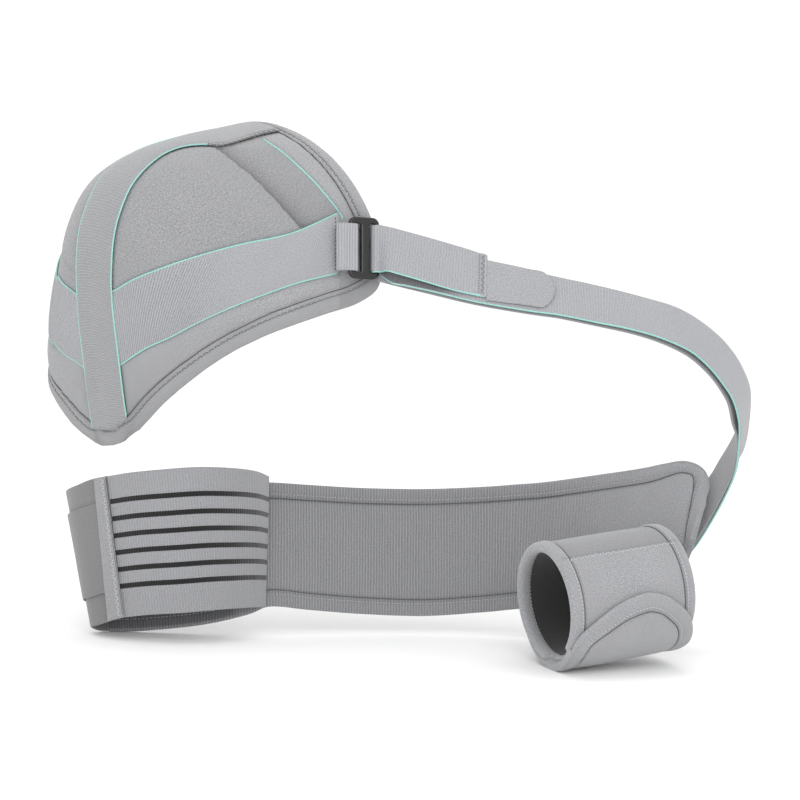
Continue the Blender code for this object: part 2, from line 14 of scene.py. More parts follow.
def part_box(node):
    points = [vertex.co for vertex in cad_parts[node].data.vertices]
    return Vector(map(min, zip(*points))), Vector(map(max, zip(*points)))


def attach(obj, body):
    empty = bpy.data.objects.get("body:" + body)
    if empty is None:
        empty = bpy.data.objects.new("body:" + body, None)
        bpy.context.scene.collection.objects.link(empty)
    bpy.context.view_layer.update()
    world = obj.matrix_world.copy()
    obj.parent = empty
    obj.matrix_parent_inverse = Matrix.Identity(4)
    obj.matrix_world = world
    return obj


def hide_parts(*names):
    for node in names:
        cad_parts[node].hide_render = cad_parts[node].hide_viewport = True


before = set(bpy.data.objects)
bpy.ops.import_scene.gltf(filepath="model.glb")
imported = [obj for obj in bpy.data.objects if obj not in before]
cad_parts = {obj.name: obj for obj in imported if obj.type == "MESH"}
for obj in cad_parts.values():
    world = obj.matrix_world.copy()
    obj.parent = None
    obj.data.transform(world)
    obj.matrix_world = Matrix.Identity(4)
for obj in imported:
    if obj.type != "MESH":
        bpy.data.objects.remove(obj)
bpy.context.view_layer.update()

MM = 0.001
UNIT = 0.81            # millimetres in one unit of the front elevation
VIEW_DISTANCE = 1700.0
VIEW_TILT = 4.0
CENTRE_UV = (400.0, 400.0)   # middle of the elevation
SEAT_UV = (185.0, 145.0)     # the seat (origin) in the elevation

CUP_YAW = 45.0         # the cup's arm-to-neck line, turned from +X towards +Y
CUP_PITCH = 17.0       # the cup's top, tipped towards the front
CUP_WALL = 4.0         # padded fabric
BAND_WALL = 1.2        # ribbed bands sewn on the cup
BAND_GAP = 0.5
ARCH_HALF = 18.5       # half the width of the band over the crown

STRAP_WALL = 2.0
STRAP_WIDTH = 38.0
LAYER_GAP = 0.6
WEB_WALL = 1.6
RING_WALL = 4.0
RING_SIZE = (27.0, 50.0)
RING_BARS = ((-13.5, -8.0), (-3.0, 4.8), (9.6, 13.5))   # left, middle and right bar, along its width
RING_END = 5.4         # end bars

BELT_WALL = 5.0
BELT_LEAN = 14.0       # the top edge lies this much deeper than the middle, the bottom edge this much less
LOOP_WALL = 2.2
PATCH_WALL = 1.2

CUFF_RADIUS = 46.3     # middle of the padded wall
CUFF_WALL = 5.0
FLAP_WALL = 4.4

# ---------------------------------------------------------------- front elevation

TILT = math.radians(VIEW_TILT)
LOOK = np.array([0, math.cos(TILT), -math.sin(TILT)])
UP = np.array([0, math.sin(TILT), math.cos(TILT)])
RIGHT = np.array([1.0, 0, 0])
MIDDLE = np.array([(CENTRE_UV[0] - SEAT_UV[0]) * UNIT, 0, (SEAT_UV[1] - CENTRE_UV[1]) * UNIT])
EYE = MIDDLE - VIEW_DISTANCE * LOOK


def sight(u, v):
    d = LOOK * VIEW_DISTANCE / UNIT + RIGHT * (u - CENTRE_UV[0]) - UP * (v - CENTRE_UV[1])
    return d / np.linalg.norm(d)


def seen(u, v, y):
    """The point at depth y that is drawn at (u, v)."""
    d = sight(u, v)
    return EYE + d * (y - EYE[1]) / d[1]


def smooth(rows, where):
    """Reads a smooth curve through the rows of a table at the given row numbers."""
    p = np.array(rows, float)
    slope = np.gradient(p, axis=0)
    out = []
    for x in where:
        i = min(int(x), len(p) - 2)
        t = x - i
        out.append((2 * t**3 - 3 * t**2 + 1) * p[i] + (t**3 - 2 * t**2 + t) * slope[i]
                   + (3 * t**2 - 2 * t**3) * p[i + 1] + (t**3 - t**2) * slope[i + 1])
    return np.array(out)


def even(points, count):
    """The same line with evenly spaced points."""
    p = np.array(points, float)
    along = np.concatenate([[0], np.cumsum(np.linalg.norm(np.diff(p, axis=0), axis=1))])
    at = np.linspace(0, along[-1], count)
    return np.stack([np.interp(at, along, p[:, k]) for k in range(p.shape[1])], axis=1)


def through(rows, count):
    """A smooth curve through the rows, as evenly spaced points."""
    return even(smooth(rows, np.linspace(0, len(rows) - 1, 12 * len(rows))), count)

# ---------------------------------------------------------------- shoulder cup

CP, SP = math.cos(math.radians(CUP_PITCH)), math.sin(math.radians(CUP_PITCH))
CY, SY = math.cos(math.radians(CUP_YAW)), math.sin(math.radians(CUP_YAW))
NECKWARD = np.array([CY, SY * CP, SY * SP])       # along the shoulder, arm to neck
FRONTWARD = np.array([SY, -CY * CP, -CY * SP])    # across it, towards the shown half
CUP_UP = np.array([0, -SP, CP])

# The band's middle line over the crown, from the lowest point on the arm to the neck edge: (u, v)
CROWN = [(110, 445), (102.5, 372), (97, 300), (99, 235), (116, 184), (150, 156), (195, 140), (237, 131), (275, 124)]
# The edge of the shown half beside each of those: (u, v, distance b from the middle plane in mm)
EDGE = [(140, 427, 25), (180, 390, 58), (222, 359, 82), (262, 338, 100), (298, 324, 112), (330, 313, 120),
        (357, 304, 126), (377, 290, 129), (384, 266, 128)]
# How each section arrives at that edge, in cup axes (neckward, outward, up), and how full it is at each end
ARRIVAL = [(0.45, 0.75, 0.45, 1.0, 1.0), (0.75, 0.62, -0.2, 1.1, 0.9), (0.8, 0.45, -0.4, 1.2, 0.9),
           (0.7, 0.4, -0.6, 1.2, 1.0), (0.5, 0.35, -0.8, 1.2, 1.0), (0.3, 0.3, -0.9, 1.15, 1.0),
           (0.15, 0.3, -0.94, 1.15, 1.05), (0.05, 0.3, -0.95, 1.15, 1.1), (0.0, 0.25, -0.97, 1.2, 1.2)]
# The edge of the hidden half, in cup axes (neckward, outward, up) in mm, and how its sections arrive there
BACK_EDGE = [(-82, -28, -239), (-85, -62, -228), (-80, -90, -210), (-48, -114, -185), (-8, -124, -160), (32, -128, -145),
             (64, -130, -134), (88, -130, -120), (100, -128, -97)]
BACK_ARRIVAL = [(0.1, -0.95, 0.3, 1.0, 1.0), (0.15, -0.9, -0.3, 1.1, 0.9), (0.45, -0.5, -0.75, 1.2, 0.9),
                (0.45, -0.4, -0.8, 1.15, 1.0), (0.4, -0.3, -0.85, 1.1, 1.0), (0.3, -0.3, -0.9, 1.05, 1.0),
                (0.15, -0.3, -0.94, 1.0, 1.0), (0.05, -0.3, -0.95, 1.0, 1.0), (0.0, -0.3, -0.95, 1.1, 1.1)]


def in_cup(a, b, z):
    return a * NECKWARD + b * FRONTWARD + z * CUP_UP


def drawn_on_plane(u, v, b):
    """Cup coordinates of the point drawn at (u, v), b to the shown side of the middle plane."""
    d = sight(u, v)
    p = EYE + d * (b - EYE @ FRONTWARD) / (d @ FRONTWARD)
    return np.array([p @ NECKWARD, b, p @ CUP_UP])


crown = np.array([drawn_on_plane(u, v, 0.0) for u, v in CROWN])
edge = np.array([drawn_on_plane(u, v, b) for u, v, b in EDGE])
halves = {1: (edge, ARRIVAL), -1: (BACK_EDGE, BACK_ARRIVAL)}


def cup_section(row, side, samples=60):
    """One section of the shown (1) or hidden (-1) half, from the middle plane to the edge, in cup coordinates."""
    c, e, a = smooth(crown, [row])[0], smooth(halves[side][0], [row])[0], smooth(halves[side][1], [row])[0]
    c = np.array([c[0], 0.0, c[2]])
    size = np.linalg.norm(e - c)
    start = np.array([0.0, side, 0.0]) * size * a[3]
    finish = a[:3] / np.linalg.norm(a[:3]) * size * a[4]
    t = np.linspace(0, 1, samples)[:, None]
    return ((2 * t**3 - 3 * t**2 + 1) * c + (t**3 - 2 * t**2 + t) * start
            + (3 * t**2 - 2 * t**3) * e + (t**3 - t**2) * finish)


def cup_row(row, side, columns):
    """Points of a section: three columns under the crown band, and the rest evenly to the edge."""
    p = cup_section(row, side)
    along = np.concatenate([[0], np.cumsum(np.linalg.norm(np.diff(p, axis=0), axis=1))])
    band = min(ARCH_HALF, 0.55 * along[-1])
    at = np.concatenate([[0, band / 2], np.linspace(band, along[-1], columns - 2)])
    return np.stack([np.interp(at, along, p[:, k]) for k in range(3)], axis=1)


def cup_grid(rows, columns):
    """The whole outer face, from the hidden half's edge to the shown half's."""
    grid = []
    for row in rows:
        both = np.concatenate([cup_row(row, -1, columns)[:0:-1], cup_row(row, 1, columns)])
        grid.append([in_cup(*p) for p in both])
    return np.array(grid)


def normals(grid):
    """Unit normals of a grid."""
    n = np.cross(np.gradient(grid, axis=0), np.gradient(grid, axis=1))
    return n / np.linalg.norm(n, axis=2, keepdims=True)


def tree_of(grid):
    """The grid as a surface that lines of sight can meet."""
    rows, cols = grid.shape[:2]
    faces = [(i * cols + j, i * cols + j + 1, (i + 1) * cols + j + 1, (i + 1) * cols + j)
             for i in range(rows - 1) for j in range(cols - 1)]
    return BVHTree.FromPolygons([Vector(p) for p in grid.reshape(-1, 3)], faces)


def drawn_on(tree, u, v):
    """Where the line of sight through (u, v) meets a surface, and its normal there, facing the front."""
    d = sight(u, v)
    place, normal, _, _ = tree.ray_cast(Vector(EYE), Vector(d))
    if place is None:
        place, normal, _, _ = tree.find_nearest(Vector(seen(u, v, 0)))
    place, normal = np.array(place), np.array(normal)
    return place, normal if normal @ d < 0 else -normal


# The side band's piped edges, from the crown band to the ring: (u, v upper, u, v lower)
SIDE_BAND = [(118, 288.5, 125, 362), (136, 278, 146, 348), (172, 264, 172, 336), (207, 253, 200, 321), (242, 244, 236, 305),
             (278, 237, 270, 292), (301, 230, 300, 282), (338, 213, 338, 273)]

# How much lower the hidden half's band lies, in rows of the fine grid: its upper edge, its lower edge
BACK_DROP = [(2.6, 1.4), (4.5, 0.4), (4.5, 0), (3.4, 0), (2.2, 0), (1.2, 0), (0.5, 0), (0, 0)]

# ---------------------------------------------------------------- ring and strap

RING_UV = (359.0, 249.5)     # the place on the cup behind its middle

# The chest strap's run from the ring to the far turn and behind the belt.
# Lower (piped) edge u, v, y and upper edge u, v, y
REAR_RUN = [(392, 283, -8, 394, 236, 3), (430, 291, -14, 432, 246, 0), (477, 302, -19, 480, 258, -2),
            (530, 311, -22, 530, 271, -2), (560, 315, -22, 558, 277, 0), (600, 323, -21, 598, 286, 2),
            (630, 329, -18, 642, 297, 6), (661, 338, -12, 680, 309, 14), (690, 351, -3, 712, 330, 26),
            (709, 367, 6, 732, 351, 38), (723, 384, 15, 744, 372, 49), (733, 400, 24, 750, 392, 59),
            (739, 422, 34, 749, 419, 71), (739, 445, 45, 743, 449, 82), (736, 470, 55, 729, 468, 90),
            (727, 493, 63, 712, 483, 94), (709, 526, 70, 682, 508, 94), (690, 553, 73.5, 660, 528, 92.5),
            (664, 573, 78, 640, 540, 92), (632, 583, 85.5, 618, 545, 97), (602, 588, 95, 596, 549, 105)]
# The strap's second layer, on the inside of the turn: lower edge u, v, y and upper edge u, v, y
INNER_RUN = [(378, 281.5, 1, 380, 240, 12), (397, 286.5, -4, 399, 240.5, 7), (430, 294.5, -10, 432, 249, 4), (477, 305.5, -15, 480, 261.5, 2), (530, 314.5, -18, 530, 274.5, 2),
             (560, 318.7, -18, 558, 280.5, 4), (600, 327, -17, 598, 289.5, 6), (630, 333.5, -14, 641, 300.5, 10),
             (660, 343, -8, 677, 313, 18), (687, 356, 1, 708, 334, 30), (706, 372, 10, 726, 355, 42), (719, 388, 19, 738, 377, 53),
             (728, 404, 27.6, 741, 395, 63), (732.5, 424, 37, 740.8, 406, 68), (737.5, 438, 43.5, 739.2, 423.5, 75.5), (738.3, 454, 50, 731.5, 441, 81.7), (734.2, 470, 56, 720, 460, 87),
             (724, 493, 61, 708, 479, 90), (706, 526, 66.5, 682, 506, 89.5), (687, 553, 69.5, 660, 527, 88), (662, 572, 74, 640, 539, 88),
             (632, 582, 81.7, 618, 544, 93.2)]
# Hook tab that fixes the strap's far end on the back of the belt: lower edge u, v, y and upper edge u, v, y
REAR_TAB = [(628.5, 583, 82.5, 614.5, 545, 94), (602, 587, 91.2, 596, 549, 101), (578, 590, 98.5, 573, 552, 109.5)]
# The strap's end folded back over the front: from its sewn end towards the ring: u, v lower, u, v upper
FOLD_BACK = [(485.5, 297, 486, 255), (455, 290.5, 458, 246), (418, 279.5, 423, 236), (388, 271, 392, 227.5)]
# Hook tab in front of the strap: u, v lower, v upper
HOOK_TAB = [(487, 300, 260), (510, 303, 265), (530, 305.5, 269.3), (543, 307, 272), (551, 301, 280), (555, 293, 287)]

# ---------------------------------------------------------------- belt and arm loop

# Body belt: upper edge u, v; lower edge u, v; depth of the middle
BELT = [(93, 490, 110, 631, 69), (133, 489, 140, 630, 70), (183, 487, 186, 626, 71), (216, 486, 218, 621, 73),
        (249, 484.5, 250, 613, 77), (271, 483.5, 271, 605.5, 82), (310, 486, 310, 609, 92), (362, 489, 362, 613, 104),
        (424, 490, 424, 615, 115), (480, 488, 480, 611.5, 118), (515, 485.5, 512, 608.5, 116), (546, 483, 540, 606, 110),
        (590, 477, 580, 604, 101), (638, 470, 622, 600, 87), (666, 464.5, 645, 596, 77), (684, 462, 660, 590, 69),
        (698, 466, 672, 581, 63), (706, 474, 682, 567, 60), (708, 485, 691, 545, 58)]
# Side panel of the arm loop, from the belt's end round to the front seam: upper edge u, v, y; lower edge u, v, y
LOOP_PANEL = [(92, 490, 83, 109, 631, 55), (78, 492, 80, 99, 630.5, 51), (67.5, 491.5, 70, 92.5, 628, 42), (69, 488.5, 55, 92.5, 626.5, 33),
              (77, 485, 41, 97, 625.5, 26), (91, 479.5, 29, 106, 622.5, 19), (107, 476, 19, 123, 617.5, 11)]
# Striped elastic front, from that seam to where it is sewn on the belt
LOOP_FRONT = [(108, 476, 18.3, 124, 617.4, 10.6), (133, 472, 8, 149, 615, 5), (166, 469, 1, 183, 613, 4), (199, 467, 1, 211, 610.5, 11),
              (232, 468, 15, 236, 608.5, 25), (256, 471, 45, 254, 607.3, 43), (268.5, 476, 80, 264.5, 606.8, 59)]

# ---------------------------------------------------------------- wrist cuff

# Centres of the cuff's open ends: u, v, y
CUFF_ENDS = [(543.5, 603.8, -36.5), (665.5, 582.8, 9.5)]
# Rounded edge of the flap on the cuff, from the open end round its tip: u, v
FLAP_START = 38.0      # degrees up the front, where that edge leaves the open end
FLAP_EDGE = [(579, 639.5), (598, 621.5), (619, 605.5), (635, 597.5), (651, 593.5), (668, 597), (681, 606), (688.5, 616),
             (691, 628), (688, 640)]
FLAP_ROOT = -8.0       # degrees behind the cuff's underside where the flap leaves the roll

# ---------------------------------------------------------------- tools

def unit(v):
    return v / np.maximum(np.linalg.norm(v, axis=-1, keepdims=True), 1e-9)


def project(p):
    """Where points (mm) are drawn in the front elevation."""
    d = np.asarray(p) - EYE
    k = VIEW_DISTANCE / UNIT / (d @ LOOK)
    return CENTRE_UV[0] + (d @ RIGHT) * k, CENTRE_UV[1] - (d @ UP) * k


def near(points, line):
    """Distance from each point to a dense line."""
    line = np.asarray(line, np.float32)
    flat = np.asarray(points, np.float32).reshape(-1, 3)
    out = np.empty(len(flat))
    for a in range(0, len(flat), 4000):
        d = flat[a:a + 4000, None] - line[None]
        out[a:a + 4000] = np.sqrt((d * d).sum(2).min(1))
    return out.reshape(np.asarray(points).shape[:-1])


def dense(line, step=0.7):
    line = np.asarray(line, float)
    length = np.linalg.norm(np.diff(line, axis=0), axis=1).sum()
    return even(line, int(length / step) + 2)


def ramp(x, a, b):
    """0 before a, 1 after b, smooth between."""
    t = np.clip((np.asarray(x, float) - a) / (b - a), 0, 1)
    return t * t * (3 - 2 * t)


LATTICE = np.random.default_rng(7).uniform(-1, 1, (24, 24, 24))


def lumps(p, size, shift=0.0):
    """Smooth unevenness from -1 to 1, in lumps of about that size in mm."""
    q = np.asarray(p, float) / size + 200.0 + shift
    i = np.floor(q).astype(int)
    f = q - i
    f = f * f * (3 - 2 * f)
    out = 0.0
    for dx in (0, 1):
        for dy in (0, 1):
            for dz in (0, 1):
                w = (f[..., 0] if dx else 1 - f[..., 0]) * (f[..., 1] if dy else 1 - f[..., 1]) * (f[..., 2] if dz else 1 - f[..., 2])
                out = out + w * LATTICE[(i[..., 0] + dx) % 24, (i[..., 1] + dy) % 24, (i[..., 2] + dz) % 24]
    return out


def put(mesh, name, mats, stands_for=()):
    """A finished mesh as a piece of the object."""
    for m in mats:
        mesh.materials.append(m)
    ob = bpy.data.objects.new(name, mesh)
    bpy.context.scene.collection.objects.link(ob)
    if stands_for:
        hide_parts(*stands_for)
    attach(ob, "root")
    return ob


def slab(name, mid, wall, mats, front=0.0, back=0.0, toward=None, rim=5, ends=4, closed=False, lined=None, faced=None, tone=None, both=False, stands_for=()):
    """A soft wall round a middle surface: rows along it, columns across, its rims rounded.

    front and back stand proud of its two faces (mm), lined and faced mark where the back and the front take the second
    material, closed joins the last row to the first, and tone is painted light and shade: it darkens the front, or both
    faces, where it is under 1 and lightens them where it is over 1."""
    mid = np.array(mid, float)
    rows, cols = mid.shape[:2]
    if closed:
        along = unit(np.roll(mid, -1, axis=0) - np.roll(mid, 1, axis=0))
    else:
        along = unit(np.gradient(mid, axis=0))
    across = unit(np.gradient(mid, axis=1))
    n = unit(np.cross(along, across))
    if toward is not None and (n * toward).sum(2).mean() < 0:
        n = -n
    front = np.broadcast_to(np.asarray(front, float), (rows, cols)) + wall / 2
    back = np.broadcast_to(np.asarray(back, float), (rows, cols)) + wall / 2
    c = mid + n * ((front - back) / 2)[..., None]
    h = (front + back) / 2
    step = np.concatenate([[0], np.cumsum(np.linalg.norm(np.diff(mid[:, cols // 2], axis=0), axis=1))])
    if closed:
        total = step[-1] + np.linalg.norm(mid[0, cols // 2] - mid[-1, cols // 2])
        idx, sc, sh = list(range(rows)) + [0], [1.0] * (rows + 1), [0.0] * (rows + 1)
        v = np.append(step, total)
    else:
        angles = [math.pi / 2 * k / ends for k in range(ends, 0, -1)]
        idx = [0] * ends + list(range(rows)) + [rows - 1] * ends
        sc = [math.cos(a) for a in angles] + [1.0] * rows + [math.cos(a) for a in angles[::-1]]
        sh = [-math.sin(a) for a in angles] + [0.0] * rows + [math.sin(a) for a in angles[::-1]]
        v = step[idx] + np.array(sh) * h.mean()
    idx, sc, sh = np.array(idx), np.clip(np.array(sc), 0, 1), np.array(sh)
    N, A = n[idx], across[idx]
    C = c[idx] + along[idx] * (sh[:, None] * h[idx])[..., None]
    H = h[idx] * sc[:, None]
    wide = np.linalg.norm(np.diff(mid, axis=1), axis=2).sum(1).mean()
    share = np.linspace(0, 1, cols)
    turn = [math.pi * (k + 1) / (rim + 1) for k in range(rim)]
    parts = [C + N * H[..., None]]
    us = [np.tile(share * wide, (len(idx), 1))]
    fs = [np.tile(share, (len(idx), 1))]
    for side, j in ((1, -1), (-1, 0)):
        at = np.stack([C[:, j] + side * N[:, j] * (H[:, j, None] * math.cos(a)) + side * A[:, j] * (H[:, j, None] * math.sin(a)) for a in turn], axis=1)
        u = np.stack([(wide if side > 0 else 0) + side * H[:, j] * math.sin(a) for a in turn], axis=1)
        if side > 0:
            parts += [at, (C - N * H[..., None])[:, ::-1]]
            us += [u, np.tile((share * wide)[::-1], (len(idx), 1))]
            fs += [np.ones_like(u), np.tile(share[::-1], (len(idx), 1))]
        else:
            parts.append(at)
            us.append(u)
            fs.append(np.zeros_like(u))
    P = np.concatenate(parts, axis=1)
    U, F = np.concatenate(us, axis=1), np.concatenate(fs, axis=1)
    R, K = P.shape[:2]
    r, k = np.meshgrid(np.arange(R - 1), np.arange(K), indexing="ij")
    k2 = (k + 1) % K
    quads = np.stack([r * K + k, r * K + k2, (r + 1) * K + k2, (r + 1) * K + k], axis=2).reshape(-1, 4)
    marks = np.zeros((R - 1, K), int)
    row_of = idx[:-1]
    if lined is not None:
        lined = np.broadcast_to(np.asarray(lined, bool), (rows, cols))
        seg = np.arange(cols + rim, 2 * cols + rim - 1)
        marks[:, seg] = lined[row_of][:, ::-1][:, 1:]
    if faced is not None:
        faced = np.broadcast_to(np.asarray(faced, bool), (rows, cols))
        marks[:, :cols - 1] = faced[row_of][:, :-1]
    mesh = bpy.data.meshes.new(name)
    mesh.from_pydata((P.reshape(-1, 3) * MM).tolist(), [], quads.tolist())
    vv = np.tile(v[:, None], (1, K)).reshape(-1)
    for label, a, b in (("mm", U.reshape(-1), vv), ("share", F.reshape(-1), vv / max(v[-1], 1))):
        layer = mesh.uv_layers.new(name=label)
        corner = quads.reshape(-1)
        layer.data.foreach_set("uv", np.stack([a[corner], b[corner]], axis=1).astype(np.float32).reshape(-1))
    mesh.polygons.foreach_set("material_index", marks.reshape(-1).astype(np.int32))
    # painted light and shade, handed to the material as the tone attribute
    shade = np.ones((R, K), np.float32)
    if tone is not None:
        tone = np.broadcast_to(tone, (rows, cols))[idx]
        shade[:, :cols] = tone
        if both:
            shade[:, cols + rim:2 * cols + rim] = tone[:, ::-1]
    mesh.attributes.new("tone", "FLOAT", "POINT").data.foreach_set("value", shade.reshape(-1))
    bm = bmesh.new()
    bm.from_mesh(mesh)
    bmesh.ops.remove_doubles(bm, verts=bm.verts, dist=2e-6)
    bmesh.ops.recalc_face_normals(bm, faces=bm.faces)
    bm.to_mesh(mesh)
    bm.free()
    mesh.shade_smooth()
    ob = put(mesh, name, mats, stands_for)
    return ob, Skin(c + n * h[..., None], n)


class Skin:
    """An outer face that piping and seams are laid on."""

    def __init__(self, grid, n):
        self.grid, self.n = np.asarray(grid), np.asarray(n)
        self.tree = tree_of(self.grid)

    def at(self, i, j, lift=0.0):
        """Points over the face at rows i and columns j, and the normals there."""
        i, j = np.atleast_1d(np.asarray(i, float)), np.atleast_1d(np.asarray(j, float))
        i0 = np.clip(i.astype(int), 0, self.grid.shape[0] - 2)
        j0 = np.clip(j.astype(int), 0, self.grid.shape[1] - 2)
        a, b = (i - i0)[:, None], (j - j0)[:, None]
        mix = lambda g: ((1 - a) * (1 - b) * g[i0, j0] + (1 - a) * b * g[i0, j0 + 1] + a * (1 - b) * g[i0 + 1, j0] + a * b * g[i0 + 1, j0 + 1])
        n = unit(mix(self.n))
        return mix(self.grid) + n * lift, n

    def drawn(self, line, count=60, lift=0.0):
        """A line drawn in the elevation, laid on the face."""
        pts, ns = [], []
        for u, v in through(line, count):
            p, n = drawn_on(self.tree, u, v)
            pts.append(p + n * lift)
            ns.append(n)
        return np.array(pts), np.array(ns)

    def cells(self, points):
        """Rows and columns of points that lie on the face."""
        out = []
        for p in points:
            d = ((self.grid - p) ** 2).sum(2)
            i, j = np.unravel_index(np.argmin(d), d.shape)
            i, j = min(max(i, 1), self.grid.shape[0] - 2), min(max(j, 1), self.grid.shape[1] - 2)
            steps = np.stack([(self.grid[i + 1, j] - self.grid[i - 1, j]) / 2, (self.grid[i, j + 1] - self.grid[i, j - 1]) / 2], axis=1)
            out.append(np.array([i, j]) + np.clip(np.linalg.lstsq(steps, p - self.grid[i, j], rcond=None)[0], -1.5, 1.5))
        return np.array(out)


class Bundle:
    """Many small threads or tubes in one mesh."""

    def __init__(self):
        self.v, self.f, self.count = [], [], 0

    def rings(self, rings):
        """Adds closed shapes: rings[shape, ring, side, xyz]."""
        s, r, k = rings.shape[:3]
        a, b, c = np.meshgrid(np.arange(s), np.arange(r - 1), np.arange(k), indexing="ij")
        base = self.count + a * r * k
        c2 = (c + 1) % k
        self.f += np.stack([base + b * k + c, base + b * k + c2, base + (b + 1) * k + c2, base + (b + 1) * k + c], axis=3).reshape(-1, 4).tolist()
        start = self.count + np.arange(s)[:, None] * r * k
        self.f += (start + np.arange(k)[None, ::-1]).tolist() + (start + (r - 1) * k + np.arange(k)[None]).tolist()
        self.v.append(rings.reshape(-1, 3))
        self.count += s * r * k

    def tube(self, path, radius, sides=8, flat=1.0, up=None):
        """A round cord along a line, with rounded ends."""
        p = np.asarray(path, float)
        t = unit(np.gradient(p, axis=0))
        ref = np.array(up, float) if up is not None else np.tile([0.13, 0.41, 0.9], (len(p), 1))
        if ref.ndim == 1:
            ref = np.tile(ref, (len(p), 1))
        side = unit(np.cross(t, ref))
        top = np.cross(side, t)
        scale = np.ones(len(p))
        scale[0] = scale[-1] = 0.45
        a = np.linspace(0, 2 * math.pi, sides, endpoint=False)
        ring = (p[:, None] + side[:, None] * (np.cos(a)[None, :, None] * scale[:, None, None] * radius)
                + top[:, None] * (np.sin(a)[None, :, None] * scale[:, None, None] * radius * flat))
        self.rings(ring[None])

    def sew(self, line, n, pitch=3.2, length=2.3, radius=0.46, side=0.0, zig=0.0, lift=0.12):
        """Stitches along a line: in a row, or in a zigzag that reaches zig to both sides."""
        line, n = np.asarray(line, float), np.asarray(n, float)
        total = np.linalg.norm(np.diff(line, axis=0), axis=1).sum()
        count = max(int(total / pitch), 2)
        both = even(np.concatenate([line, n * 1e-3], axis=1), count * 4 + 1)
        p, m = both[:, :3], unit(both[:, 3:])
        t = unit(np.gradient(p, axis=0))
        across = unit(np.cross(m, t))
        mids = np.arange(2, count * 4, 4)
        if zig:
            turns = np.where(np.arange(count) % 2 == 0, 1.0, -1.0)[:, None]
            a = p[mids] - t[mids] * pitch * 0.42 - across[mids] * turns * zig
            b = p[mids] + t[mids] * pitch * 0.42 + across[mids] * turns * zig
        else:
            a = p[mids] - t[mids] * length / 2
            b = p[mids] + t[mids] * length / 2
        shift = across[mids] * side
        a, b, up = a + shift, b + shift, m[mids]
        along = unit(b - a)
        cross = unit(np.cross(up, along))
        turn = np.linspace(0, 2 * math.pi, 5, endpoint=False)
        rings = []
        for s, size, rise in ((0.0, 0.5, -0.25), (0.3, 1.0, 1.0), (0.7, 1.0, 1.0), (1.0, 0.5, -0.25)):
            c = a + (b - a) * s + up * lift * rise
            rings.append(c[:, None] + cross[:, None] * (np.cos(turn)[None, :, None] * radius * size) + up[:, None] * (np.sin(turn)[None, :, None] * radius * size))
        self.rings(np.stack(rings, axis=1))

    def finish(self, name, mat, slot):
        mesh = bpy.data.meshes.new(name)
        mesh.from_pydata((np.concatenate(self.v) * MM).tolist(), [], self.f)
        bm = bmesh.new()
        bm.from_mesh(mesh)
        bmesh.ops.recalc_face_normals(bm, faces=bm.faces)
        bm.to_mesh(mesh)
        bm.free()
        mesh.shade_smooth()
        return put(mesh, name, [mat])


# ---------------------------------------------------------------- finishes

